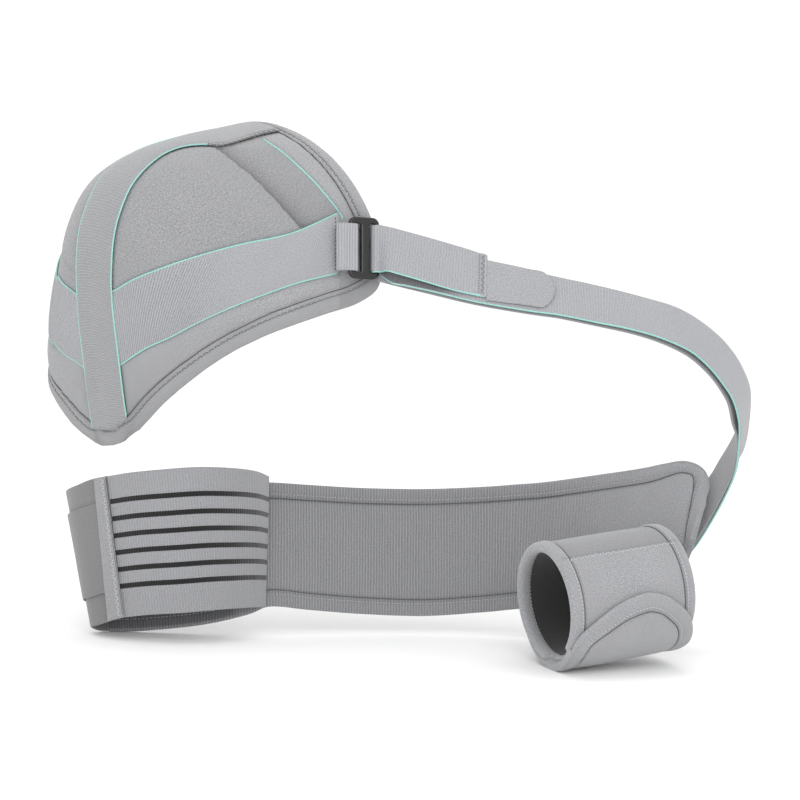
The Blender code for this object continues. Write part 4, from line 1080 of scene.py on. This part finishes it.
bar = RING_BARS[2]
strap_z = RING_WALL / 2 + LAYER_GAP + 0.3 + STRAP_WALL / 2
rear = smooth(REAR_RUN, np.linspace(0, len(REAR_RUN) - 1, 3 * (len(REAR_RUN) - 1) + 1))
rear_low = np.array([seen(*r[:3]) for r in rear])
rear_up = np.array([seen(*r[3:]) for r in rear])


def run_depth(u, v):
    """Depth of the strap's front run where it is drawn at (u, v)."""
    rows = np.array(REAR_RUN)[:9]
    v_low, y_low = (np.interp(u, rows[:, 0], rows[:, k]) for k in (1, 2))
    v_up, y_up = (np.interp(u, rows[:, 3], rows[:, k]) for k in (4, 5))
    return y_low + (y_up - y_low) * (v_low - v) / (v_low - v_up)


front_layer = 3.2
low_line, up_line = [], []
for i, (u1, v1, u2, v2) in enumerate(smooth(FOLD_BACK, np.linspace(0, 3, 7))):
    rise = front_layer + 3.6 * (i / 6) ** 1.5
    low_line.append(seen(u1, v1, run_depth(u1, v1) - rise))
    up_line.append(seen(u2, v2, run_depth(u2, v2) - rise))
wrap = [(bar[1] - 0.5, strap_z)]
wrap += [(bar[0] + 1.2 - (LAYER_GAP + STRAP_WALL / 2 + 1.4) * math.sin(a), strap_z * math.cos(a)) for a in (0.0, 0.7, 1.57, 2.44, 3.14)]
wrap += [(bar[0] + 3.0, -strap_z), (bar[1] + 1.5, -strap_z - 0.3)]
for x, z in wrap:
    low_line.append(by_ring(x, -STRAP_WIDTH / 2, z))
    up_line.append(by_ring(x, STRAP_WIDTH / 2, z))
low_line += list(rear_low)
up_line += list(rear_up)


def ribbon(low, up, count, cols, inset):
    """Middle surface of a strap between its two edge lines."""
    both = np.concatenate([np.array(low), np.array(up)], axis=1)
    both = even(smooth(both, np.linspace(0, len(both) - 1, 6 * len(both))), count)
    wide = np.linalg.norm(both[:, 3:] - both[:, :3], axis=1).mean()
    f = np.linspace(inset / wide, 1 - inset / wide, cols)[None, :, None]
    return both[:, None, :3] + (both[:, 3:] - both[:, :3])[:, None] * f


def edge_cord(skin_mid, k, radius, shift=0.0, first=0, last=None):
    """Where a teal cord runs along one edge of a ribbon: the edge line, pushed out by shift, and the outward direction
    there.
    """
    line = skin_mid[first:last, k]
    away = unit(skin_mid[first:last, k] - skin_mid[first:last, 1 if k == 0 else -2])
    return line + away * shift, away


strap_mid = ribbon(low_line, up_line, 430, 15, 1.0)
sew_rows = np.arange(430)
end_strip = 0.55 * (1 - ramp(sew_rows, 2.6, 3.6))[:, None] - 0.35 * np.exp(-((sew_rows - 3.6) / 0.6) ** 2)[:, None]
toward_eye = np.broadcast_to(-LOOK, strap_mid.shape)
first_n = unit(np.cross(strap_mid[5, 7] - strap_mid[3, 7], strap_mid[4, 8] - strap_mid[4, 6]))
start_sign = 1.0 if first_n @ LOOK < 0 else -1.0
strap_n = normals(strap_mid) * start_sign
strap_wave = 0.25 * lumps(strap_mid, 22, 4.1)
strap_u, _ = project(strap_mid[:, 7])
# painted shadow on the strap beneath its folded end, on both faces
behind = (sew_rows > np.argmin(strap_u[:150])) * ramp(472 - strap_u, 0, 40)
strap_painted_shadow = 1 - 0.62 * behind[:, None] * (1 - ramp(np.linspace(0, 1, 15), 0.12, 0.4))[None]     # beneath the folded end
strap_ob, strap_skin = slab("elastic_strap", strap_mid, STRAP_WALL, [STRAP_CLOTH], front=end_strip + strap_wave, back=strap_wave * -1,
                            toward=strap_n, tone=strap_painted_shadow, both=True, stands_for=["chest_strap"])
line, away = edge_cord(strap_mid, 0, 0.8, 0.75)
strap_piping = Bundle()
strap_piping.tube(line + strap_n[:, 0] * 0.15, 0.8, up=strap_n[:, 0])
strap_thread = Bundle()
p, n = strap_skin.at(np.full(40, 1.6), np.linspace(0.3, 13.7, 40), 0.1)
strap_thread.sew(p, n, pitch=2.4, zig=1.15)
p, n = strap_skin.at(np.full(40, 3.4), np.linspace(0.3, 13.7, 40), 0.1)
strap_thread.sew(p, n, pitch=2.4, length=1.5)

inner = smooth(INNER_RUN, np.linspace(0, len(INNER_RUN) - 1, 3 * (len(INNER_RUN) - 1) + 1))
inner_mid = ribbon([seen(*r[:3]) for r in inner], [seen(*r[3:]) for r in inner], 380, 15, 1.0)
backing_ob, backing_skin = slab("strap_second_layer", inner_mid, STRAP_WALL, [STRAP_INNER], front=0.2 * lumps(inner_mid, 20, 6.3),
                                stands_for=["strap_backing"])
strap_piping.finish("strap_edge_piping", TEAL, "strap_elastic")

tab_rows = smooth(HOOK_TAB, np.linspace(0.02, 4.98, 60))
tab = []
for u, v1, v2 in tab_rows:
    tab.append([seen(u, v1 + (v2 - v1) * f, run_depth(u, v1 + (v2 - v1) * f) - front_layer) for f in np.linspace(0.02, 0.98, 22)])
tab_ob, tab_skin = slab("rounded_hook_tab", tab, 1.6, [TAB_CLOTH], toward=-LOOK, front=0.15 * lumps(tab, 14, 1.0), stands_for=["hook_tab"])
rear_rows = smooth(REAR_TAB, np.linspace(0, 2, 40))
rear_tab = ribbon([seen(*r[:3]) for r in rear_rows], [seen(*r[3:]) for r in rear_rows], 36, 21, 0.8)
rear_ob, _ = slab("plain_hook_tab", rear_tab, 1.6, [TAB_CLOTH], stands_for=["rear_hook_tab"])

# ================================================================ belt and arm loop

BELT_ROWS, BELT_COLS = 330, 60
belt_rows = smooth(BELT, np.linspace(0.04, len(BELT) - 1, 12 * len(BELT)))
belt = []
for u1, v1, u2, v2, y in belt_rows:
    top, bottom = seen(u1, v1, y + BELT_LEAN), seen(u2, v2, y - BELT_LEAN)
    belt.append(np.concatenate([bottom, top]))
belt = even(belt, BELT_ROWS)
finer = np.concatenate([np.linspace(0, BELT_ROWS - 16, BELT_ROWS - 15)[:-1], np.linspace(BELT_ROWS - 16, BELT_ROWS - 1, 56)])   # closer rows at the rounded end
belt = np.stack([np.interp(finer, np.arange(BELT_ROWS), column) for column in belt.T], axis=1)
belt_low, belt_up = belt[:, :3], belt[:, 3:]
belt_wide = np.linalg.norm(belt_up - belt_low, axis=1)[:, None]
share = np.linspace(0, 1, BELT_COLS)
share = share - 0.05 * np.sin(2 * math.pi * share)
inset = 2.3 / belt_wide
f = inset + (1 - 2 * inset) * share[None]
belt_mid = belt_low[:, None] + (belt_up - belt_low)[:, None] * f[..., None]
side_line = dense(np.concatenate([belt_low, belt_up[::-1]]), 0.8)
end_line = dense(belt_low[-1] + (belt_up[-1] - belt_low[-1]) * np.linspace(0, 1, 40)[:, None], 0.8)
belt_u, _ = project(belt_mid)
from_sides, from_end = near(belt_mid, side_line) * (1 + 0.45 * ramp(belt_u, 650, 698)), near(belt_mid, end_line) * 2.6
from_rim = np.minimum(from_sides, from_end)
rounder = -7.0 * np.log(np.exp(-from_sides / 7.0) + np.exp(-from_end / 7.0))
from_rim = np.where(from_end < 60, np.maximum(from_rim + (rounder - from_rim) * ramp(from_rim, 2, 9), 0), from_rim)
HEM, HEM_SEW = 13.0, 9.3
# Painted light on the belt: lighter towards its right end, with painted shade on the part inside the arm loop and along
# the hem's seam groove and sewn line
belt_painted_light = (1 + 0.2 * ramp(belt_u, 540, 680)) * (1 - 0.42 * (1 - ramp(belt_u, 225, 245))) - 0.26 * np.exp(-((from_rim - HEM) / 1.3) ** 2) - 0.10 * np.exp(-((from_rim - HEM_SEW) / 1.0) ** 2)
hem_roll = 0.1 + 1.3 * np.sqrt(np.clip(1 - ((from_rim - 4.4) / 5.4) ** 2, 0, 1))
hem_strip = 0.95 - 0.6 * np.exp(-((from_rim - HEM_SEW) / 0.8) ** 2)
field = 1.1 * (1 - np.exp(-np.maximum(from_rim - HEM, 0) / 8)) + 0.35 * lumps(belt_mid, 34, 8.0) + 0.15 * lumps(belt_mid, 13, 2.0)
belt_front = np.where(from_rim < HEM_SEW, hem_roll, np.where(from_rim < HEM, hem_strip, field * ramp(from_rim, HEM, HEM + 6)))
belt_front -= 0.9 * np.exp(-((from_rim - HEM) / 0.8) ** 2)
toward_front = np.broadcast_to(-LOOK, belt_mid.shape)
belt_ob, belt_skin = slab("padded_belt", belt_mid, BELT_WALL - 0.6, [BELT_CLOTH, DARK_LINING], front=belt_front, back=belt_front * 0.6,
                          toward=toward_front, rim=7, tone=belt_painted_light, stands_for=["body_belt"])
belt_seam_shade, belt_thread = Bundle(), Bundle()


def level_lines(f, level):
    """Lines of cells where f equals level: along the lower side, round the far end and back along the upper side."""
    low, up = [], []
    for i in range(f.shape[0]):
        over = np.nonzero(f[i] > level)[0]
        if len(over) < 2 or over[0] == 0:
            continue
        a, b = over[0], over[-1]
        low.append((i, a - (f[i, a] - level) / (f[i, a] - f[i, a - 1])))
        up.append((i, b + (f[i, b] - level) / (f[i, b] - f[i, b + 1])))
    line = np.array(low + up[::-1], float)
    for _ in range(4):
        line[1:-1] = (line[:-2] + 2 * line[1:-1] + line[2:]) / 4
    return line


for level, use in ((HEM, "seam"), (HEM_SEW, "sewn")):
    c = level_lines(from_rim, level)
    p, n = belt_skin.at(c[:, 0], c[:, 1], 0.1)
    line = even(np.concatenate([p, n], axis=1), 900)
    # a dark cord sunk in the hem's seam groove: painted shade
    if use == "seam":
        belt_seam_shade.tube(line[:, :3] + unit(line[:, 3:]) * 0.1, 0.34, sides=6, up=unit(line[:, 3:]))
    else:
        belt_thread.sew(line[:, :3], line[:, 3:], pitch=3.3, length=2.3, radius=0.46)
BELT_THREAD = plain("belt_thread", grey(200, 0.02), 0.8)
belt_thread.finish("belt_stitching", BELT_THREAD, "belt_fabric")
belt_seam_shade.finish("belt_painted_hem_shade", DARK_THREAD_AND_SEAM_SHADE, "belt_fabric")

LOOP = LOOP_PANEL + LOOP_FRONT[1:]


def wall(rows, where, cols, inset):
    """Middle surface of an upright wall, from its lower edge (column 0) to its upper edge."""
    out = []
    for u1, v1, y1, u2, v2, y2 in smooth(rows, where):
        top, bottom = seen(u1, v1, y1), seen(u2, v2, y2)
        k = inset / np.linalg.norm(top - bottom)
        out.append(bottom + (top - bottom) * (k + (1 - 2 * k) * np.linspace(0, 1, cols))[:, None])
    return np.array(out)


panel = wall(LOOP_PANEL, np.linspace(0.03, len(LOOP_PANEL) - 1, 110), 50, 1.1)
panel_n = normals(panel)
centre = seen(170, 550, 40)
if (panel_n * (panel - centre)).sum(2).mean() < 0:
    panel_n = -panel_n
panel_ob, panel_skin = slab("side_panel", panel, LOOP_WALL, [PANEL_CLOTH, PANEL_CLOTH], front=0.3 * lumps(panel, 24, 3.0),
                            toward=panel_n, stands_for=["loop_side_panel"])

front = wall(LOOP_FRONT, np.linspace(0, len(LOOP_FRONT) - 1.02, 170), 90, 1.1)
front_n = normals(front)
if (front_n * (front - centre)).sum(2).mean() < 0:
    front_n = -front_n
fs = np.linspace(0, 1, 90)
stripe_dip = sum(np.exp(-((fs - at) / (half_w_ * 0.9)) ** 4) for at, half_w_ in STRIPES)[None]
elastic_ob, elastic_skin = slab("striped_elastic", front, LOOP_WALL, [ELASTIC_CLOTH, PANEL_CLOTH],
                                front=0.25 * lumps(front, 30, 6.0) - 0.22 * stripe_dip, toward=front_n, lined=True, stands_for=["arm_loop_elastic"])

patch_rows = np.linspace(14 / 8, 45.4 / 8, 90)
patch_base = wall(LOOP_PANEL, patch_rows, 49, 0)
cut = np.linspace(5 / 24, 19.7 / 24, 60)
patch_mid = np.array([[np.array([np.interp(c * 48, np.arange(49), line[:, k]) for k in range(3)]) for c in cut] for line in patch_base])
pn = normals(patch_mid)
if (pn * (patch_mid - centre)).sum(2).mean() < 0:
    pn = -pn
patch_ob, patch_skin = slab("raised_patch", patch_mid + pn * (LOOP_WALL / 2 + 0.4 + PATCH_WALL / 2), PATCH_WALL, [PANEL_CLOTH],
                            front=0.5 + 0.2 * lumps(patch_mid, 20, 1.0), toward=pn, stands_for=["loop_patch"])

strip_at = np.linspace(4.4, 6.6, 221)
strip_grid = wall(LOOP, strip_at, 90, 0.6)
strip_u, strip_v = project(strip_grid)
strip_mid = []
for k in range(90):
    at_v = float(np.interp(102, strip_u[:, k], strip_v[:, k]))
    ends_at = [np.interp(97.2 + (at_v - 478) * 0.0937, strip_u[:, k], strip_at), np.interp(106.9 + (at_v - 475) * 0.1232, strip_u[:, k], strip_at)]
    strip_mid.append([[np.interp(x, strip_at, strip_grid[:, k, c]) for c in range(3)] for x in np.linspace(*ends_at, 14)])
strip_mid = np.array(strip_mid).transpose(1, 0, 2)
sn = normals(strip_mid)
if (sn * (strip_mid - centre)).sum(2).mean() < 0:
    sn = -sn
strip_ob, strip_skin = slab("loop_seam_strip", strip_mid + sn * 3.4, 1.1, [STRIP_CLOTH], front=0.15 * lumps(strip_mid, 6, 2.0), toward=sn)
loop_thread = Bundle()
p, n = strip_skin.at(np.full(80, 10.2), np.linspace(0.5, 88.5, 80), 0.1)
loop_thread.sew(p, n, pitch=2.5, zig=1.2)
# dark cords sunk at the seam strip's two edges: painted shade in their grooves
loop_seam_shade = Bundle()
p, n = strip_skin.at(np.full(80, 0.3), np.linspace(0.5, 88.5, 80), -0.5)
loop_seam_shade.tube(p - unit(np.cross(n, np.gradient(p, axis=0))) * 0.0, 0.45, sides=6, up=n)
p, n = strip_skin.at(np.full(80, 12.9), np.linspace(0.5, 88.5, 80), -0.3)
loop_seam_shade.tube(p, 0.4, sides=6, up=n)
loop_seam_shade.finish("loop_painted_seam_shade", DARK_THREAD_AND_SEAM_SHADE, "panel_fabric")
loop_thread.finish("loop_stitching", PALE_THREAD, "panel_fabric")

# ================================================================ wrist cuff

end_a, end_b = (seen(*e) for e in CUFF_ENDS)
CUFF_AXIS = (end_b - end_a) / np.linalg.norm(end_b - end_a)
CUFF_LONG = np.linalg.norm(end_b - end_a)
CUFF_DOWN = -UP + (UP @ CUFF_AXIS) * CUFF_AXIS
CUFF_DOWN /= np.linalg.norm(CUFF_DOWN)
CUFF_FRONT = np.cross(CUFF_AXIS, CUFF_DOWN)
if CUFF_FRONT @ LOOK > 0:
    CUFF_FRONT = -CUFF_FRONT


def on_roll(x, angle, radius):
    """Points of the roll: x along it, the angle from its underside up the front."""
    a = np.radians(angle)
    x = np.asarray(x, float)[..., None]
    return end_a + CUFF_AXIS * x + (CUFF_DOWN * np.cos(a)[..., None] + CUFF_FRONT * np.sin(a)[..., None]) * np.asarray(radius)[..., None]


def roll_place(tree, u, v):
    p, _ = drawn_on(tree, u, v)
    return (p - end_a) @ CUFF_AXIS, math.degrees(math.atan2((p - end_a) @ CUFF_FRONT, (p - end_a) @ CUFF_DOWN))


xs = np.linspace(0, 1, 84)
xs = 4.7 + (CUFF_LONG - 9.4) * (xs - 0.06 * np.sin(2 * math.pi * xs))
angles = np.linspace(0, 360, 200, endpoint=False)
gx, ga = np.meshgrid(xs, angles)
below_flap = ramp((ga + 90) % 360, 90 + FLAP_ROOT - 6, 90 + FLAP_ROOT + 4) * (1 - ramp((ga + 90) % 360, 90 + FLAP_START - 6, 90 + FLAP_START + 4))
gx = gx + 4.0 * below_flap * (1 - ramp(gx, 4, 24))            # the end is drawn in beneath the flap
roll_mid = on_roll(gx, ga, np.full_like(gx, CUFF_RADIUS))
roll_tree = tree_of(on_roll(gx, np.where(ga > 180, ga - 360, ga), np.full_like(gx, CUFF_RADIUS + CUFF_WALL / 2)))
TOP_SEAM = [roll_place(roll_tree, *p) for p in ((569, 558), (594, 553.5), (619, 550), (645, 545.5), (671, 541))]
TOP_SEAM = sorted(p for p in TOP_SEAM if 4 < p[0] < CUFF_LONG - 2 and 90 < p[1] < 200)
seam_at = np.interp(gx, [p[0] for p in TOP_SEAM], [p[1] for p in TOP_SEAM])
past_seam = ramp(ga - seam_at, -0.9, 0.9) * (ga < 250)
end_d = np.minimum(gx, CUFF_LONG - gx)
CUFF_HEM, CUFF_SEW = 11.0, 8.8
outer_roll = -0.7 + 1.3 * np.sqrt(np.clip(1 - ((end_d - 5.2) / 5.8) ** 2, 0, 1)) - 1.2 * below_flap
body = -0.25 + 0.45 * (1 - np.exp(-np.maximum(end_d - CUFF_HEM, 0) / 5)) + (0.22 * lumps(roll_mid, 26, 2.0) + 0.1 * lumps(roll_mid, 10, 4.0)) * ramp(end_d, 12, 18)
cuff_front = np.where(end_d < CUFF_HEM, outer_roll, body - 0.55 * past_seam * ramp(end_d, CUFF_HEM, CUFF_HEM + 1.5))
cuff_front -= 0.8 * np.exp(-((end_d - CUFF_HEM) / 0.8) ** 2)
# Painted shade on the cuff: along the hems' seam grooves and the top seam, and darker past the top seam where the wall
# dips
cuff_painted_shade = 1 - 0.26 * np.exp(-((end_d - CUFF_HEM) / 1.3) ** 2) - 0.20 * past_seam * (end_d > CUFF_HEM) - 0.25 * np.exp(-((ga - seam_at) / 1.6) ** 2) * (ga < 250)
inner_roll = 3.2 * np.sqrt(np.clip(1 - ((end_d - 4.8) / 5.8) ** 2, 0, 1)) * (1 - 0.6 * below_flap)
outward = unit(roll_mid - (end_a + CUFF_AXIS * gx[..., None]))
cuff_ob, cuff_skin = slab("padded_cuff", roll_mid, CUFF_WALL, [CUFF_CLOTH, DARK_LINING], front=cuff_front, back=inner_roll,
                          toward=outward, rim=9, closed=True, lined=end_d > 10.8, tone=cuff_painted_shade, stands_for=["wrist_cuff"])


def cuff_at(x, angle, lift=0.0):
    j = np.interp(x, xs, np.arange(len(xs)))
    i = np.mod(angle, 360) / 360 * len(angles)
    return cuff_skin.at(np.clip(i, 0, len(angles) - 1.001), j, lift)


cuff_thread, cuff_seam_shade = Bundle(), Bundle()
around = np.linspace(4, 356, 260)
for x, level in ((CUFF_SEW, CUFF_HEM), (CUFF_LONG - CUFF_SEW, CUFF_LONG - CUFF_HEM)):
    p, n = cuff_at(np.full(260, x), around, 0.1)
    cuff_thread.sew(p, n, pitch=3.0, length=1.9)
    # a dark cord in each hem's seam groove: painted shade
    p, n = cuff_at(np.full(260, level), around, 0.15)
    cuff_seam_shade.tube(p, 0.34, sides=6, up=n)
    ring_in = on_roll(np.full(260, level), around, np.full(260, CUFF_RADIUS - CUFF_WALL / 2 - 0.1))
    inward = -unit(ring_in - (end_a + CUFF_AXIS * level))
    cuff_thread.sew(ring_in, inward, pitch=3.0, length=1.9, lift=0.25)
sx = np.linspace(TOP_SEAM[0][0], TOP_SEAM[-1][0], 80)
sa = np.interp(sx, [p[0] for p in TOP_SEAM], [p[1] for p in TOP_SEAM])
p, n = cuff_at(sx, sa - 2.6, 0.1)
cuff_thread.sew(p, n, pitch=2.6, zig=1.3)
cuff_thread.finish("cuff_stitching", PALE_THREAD, "cuff_fabric")

# flap
flap_radius = CUFF_RADIUS + CUFF_WALL / 2 + LAYER_GAP + FLAP_WALL / 2
guide_x, guide_a = np.meshgrid(np.linspace(-6, CUFF_LONG + 6, 50), np.linspace(-90, 150, 121))
guide_tree = tree_of(on_roll(guide_x, guide_a, np.full_like(guide_x, flap_radius)))
FLAP_DRAWN = [(579, 639), (598, 621), (619, 605), (635, 597), (651, 593), (668, 597), (682, 607), (689, 615), (692, 626), (691, 637)]
rim_pts = np.array([(-0.4, FLAP_START)] + [roll_place(guide_tree, u, v) for u, v in FLAP_DRAWN])
rim_pts[:, 0] = np.clip(rim_pts[:, 0], -0.4, CUFF_LONG - 0.5)
RIM_COUNT, DEEP = 190, 60
rim_curve = through(rim_pts, RIM_COUNT)
k = np.arange(RIM_COUNT) / (RIM_COUNT - 1)
root_x = 4.5 + (CUFF_LONG - 7.5) * k
FLAP_SEWN = -72.0                                          # where the flap has sunk into the roll, at the back
f = np.linspace(0, 1, DEEP)
f = (f + 0.6 * f * f) / 1.6
fx = rim_curve[:, :1] + (root_x[:, None] - rim_curve[:, :1]) * f[None]
fa = rim_curve[:, 1:] + (FLAP_SEWN - rim_curve[:, 1:]) * f[None]
flap_outer = on_roll(fx, fa, flap_radius - (flap_radius - CUFF_RADIUS - 0.6) * (1 - ramp(fa, FLAP_SEWN + 4, FLAP_ROOT + 14)))
flap_rim = dense(flap_outer[:, 0], 0.8)
side_lines = np.concatenate([flap_rim, dense(flap_outer[0], 0.8), dense(flap_outer[-1], 0.8)])
flap_d = near(flap_outer, side_lines)
FLAP_HEM, FLAP_SEW = 12.5, 9.3
flap_roll = -0.3 + 1.3 * np.sqrt(np.clip(1 - ((flap_d - 4.6) / 5.6) ** 2, 0, 1))
flap_field = 0.2 + 0.9 * (1 - np.exp(-np.maximum(flap_d - FLAP_HEM, 0) / 7)) + 0.25 * lumps(flap_outer, 24, 7.0)
flap_front = np.where(flap_d < FLAP_SEW, flap_roll, np.where(flap_d < FLAP_HEM, 0.55, flap_field))
flap_front -= 0.7 * np.exp(-((flap_d - FLAP_HEM) / 0.8) ** 2) + 0.5 * np.exp(-((flap_d - FLAP_SEW) / 0.8) ** 2)
from_side = near(flap_outer, dense(flap_outer[0], 0.8))
flap_back = 3.4 * np.sqrt(np.clip(1 - ((from_side - 4.2) / 5.0) ** 2, 0, 1)) * ramp(fa, FLAP_ROOT - 34, FLAP_ROOT + 6)
# Painted shade on the flap along its hem's seam groove and sewn line
flap_painted_shade = 1 - 0.24 * np.exp(-((flap_d - FLAP_HEM) / 1.3) ** 2) - 0.08 * np.exp(-((flap_d - FLAP_SEW) / 1.0) ** 2)
flap_out = unit(flap_outer - (end_a + CUFF_AXIS * fx[..., None]))
inset_rim = flap_outer.copy()
pull = unit(flap_outer[:, 6] - flap_outer[:, 0])
inset_rim += pull[:, None] * (2.0 * (1 - f)[None, :, None] ** 2)
flap_ob, flap_skin = slab("rounded_flap", inset_rim, FLAP_WALL - 0.4, [CUFF_CLOTH], front=flap_front, toward=flap_out, rim=8, back=flap_back, tone=flap_painted_shade, stands_for=["cuff_flap"])
flap_thread = Bundle()


def first_cells(field, level):
    """Cells nearest the flap's rim where the distance reaches level."""
    out = []
    for i in range(field.shape[0]):
        over = np.nonzero(field[i] > level)[0]
        if len(over) and over[0] > 0:
            j = over[0]
            out.append((i, j - (field[i, j] - level) / (field[i, j] - field[i, j - 1])))
    line = np.array(out, float)
    for _ in range(6):
        line[1:-1] = (line[:-2] + 2 * line[1:-1] + line[2:]) / 4
    return line


c = first_cells(flap_d, FLAP_SEW)
p, n = flap_skin.at(c[:, 0], c[:, 1], 0.1)
flap_thread.sew(p, n, pitch=3.0, length=1.9)
flap_thread.finish("flap_stitching", PALE_THREAD, "cuff_fabric")
# a dark cord in the flap's hem groove: painted shade
c = first_cells(flap_d, FLAP_HEM)
p, n = flap_skin.at(c[:, 0], c[:, 1], 0.15)
cuff_seam_shade.tube(p, 0.32, sides=6, up=n)
cuff_seam_shade.finish("cuff_painted_seam_shade", DARK_THREAD_AND_SEAM_SHADE, "cuff_fabric")

piping.finish("cup_piping", TEAL, "cup_fabric")
cup_thread.finish("cup_stitching", THREAD, "cup_fabric")
dark_thread_and_seam_shade.finish("cup_seam_shade_and_dark_stitches", DARK_THREAD_AND_SEAM_SHADE, "cup_fabric")
strap_thread.finish("strap_stitching", plain("strap_thread", grey(150, 0.02), 0.7), "strap_elastic")

# ================================================================ camera, light and floor

scene = bpy.context.scene
camera = bpy.data.objects.new("camera", bpy.data.cameras.new("camera"))
scene.collection.objects.link(camera)
camera.location = EYE * MM
camera.rotation_euler = (math.radians(90 - VIEW_TILT), 0, 0)
camera.data.sensor_width = 36.0
camera.data.lens = 36.0 * VIEW_DISTANCE / (800 * UNIT)
camera.data.clip_start, camera.data.clip_end = 0.05, 60
scene.camera = camera
scene.view_settings.view_transform = "Standard"

low_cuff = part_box("wrist_cuff")[0].z
low_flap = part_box("cuff_flap")[0].z
low_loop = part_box("loop_side_panel")[0].z
x1, z1 = -0.06, low_loop - 0.0005
x2, z2 = 0.345, min(low_cuff, low_flap) - 0.0015
fall = math.atan2(z2 - z1, x2 - x1)
bm = bmesh.new()
bmesh.ops.create_grid(bm, x_segments=2, y_segments=2, size=20)
mesh = bpy.data.meshes.new("floor")
bm.to_mesh(mesh)
bm.free()
floor = bpy.data.objects.new("floor", mesh)
scene.collection.objects.link(floor)
floor.location = (x1, 0, z1)
floor.rotation_euler = (0, -fall, 0)
fm = bpy.data.materials.new("pale_floor")
fm.use_nodes = True
fm.node_tree.nodes["Principled BSDF"].inputs["Base Color"].default_value = (0.95, 0.95, 0.95, 1)
fm.node_tree.nodes["Principled BSDF"].inputs["Roughness"].default_value = 0.9
fm.node_tree.nodes["Principled BSDF"].inputs["Specular IOR Level"].default_value = 0.1
mesh.materials.append(fm)

world = bpy.data.worlds.new("studio")
scene.world = world
world.use_nodes = True
world.node_tree.nodes["Background"].inputs[0].default_value = (1, 1, 1, 1)
world.node_tree.nodes["Background"].inputs[1].default_value = 1.1


def lamp(name, place, aim, size, power):
    data = bpy.data.lights.new(name, "AREA")
    data.size = size
    data.energy = power
    ob = bpy.data.objects.new(name, data)
    scene.collection.objects.link(ob)
    ob.location = place
    ob.rotation_euler = (Vector(aim) - Vector(place)).to_track_quat("-Z", "Y").to_euler()


middle = (0.17, 0.05, -0.2)
lamp("key", (0.6, -1.9, 0.9), middle, 1.4, 14)
lamp("fill", (-0.3, -2.1, -0.1), middle, 1.2, 13)
lamp("top", (0.2, 0.0, 2.2), middle, 1.6, 8)
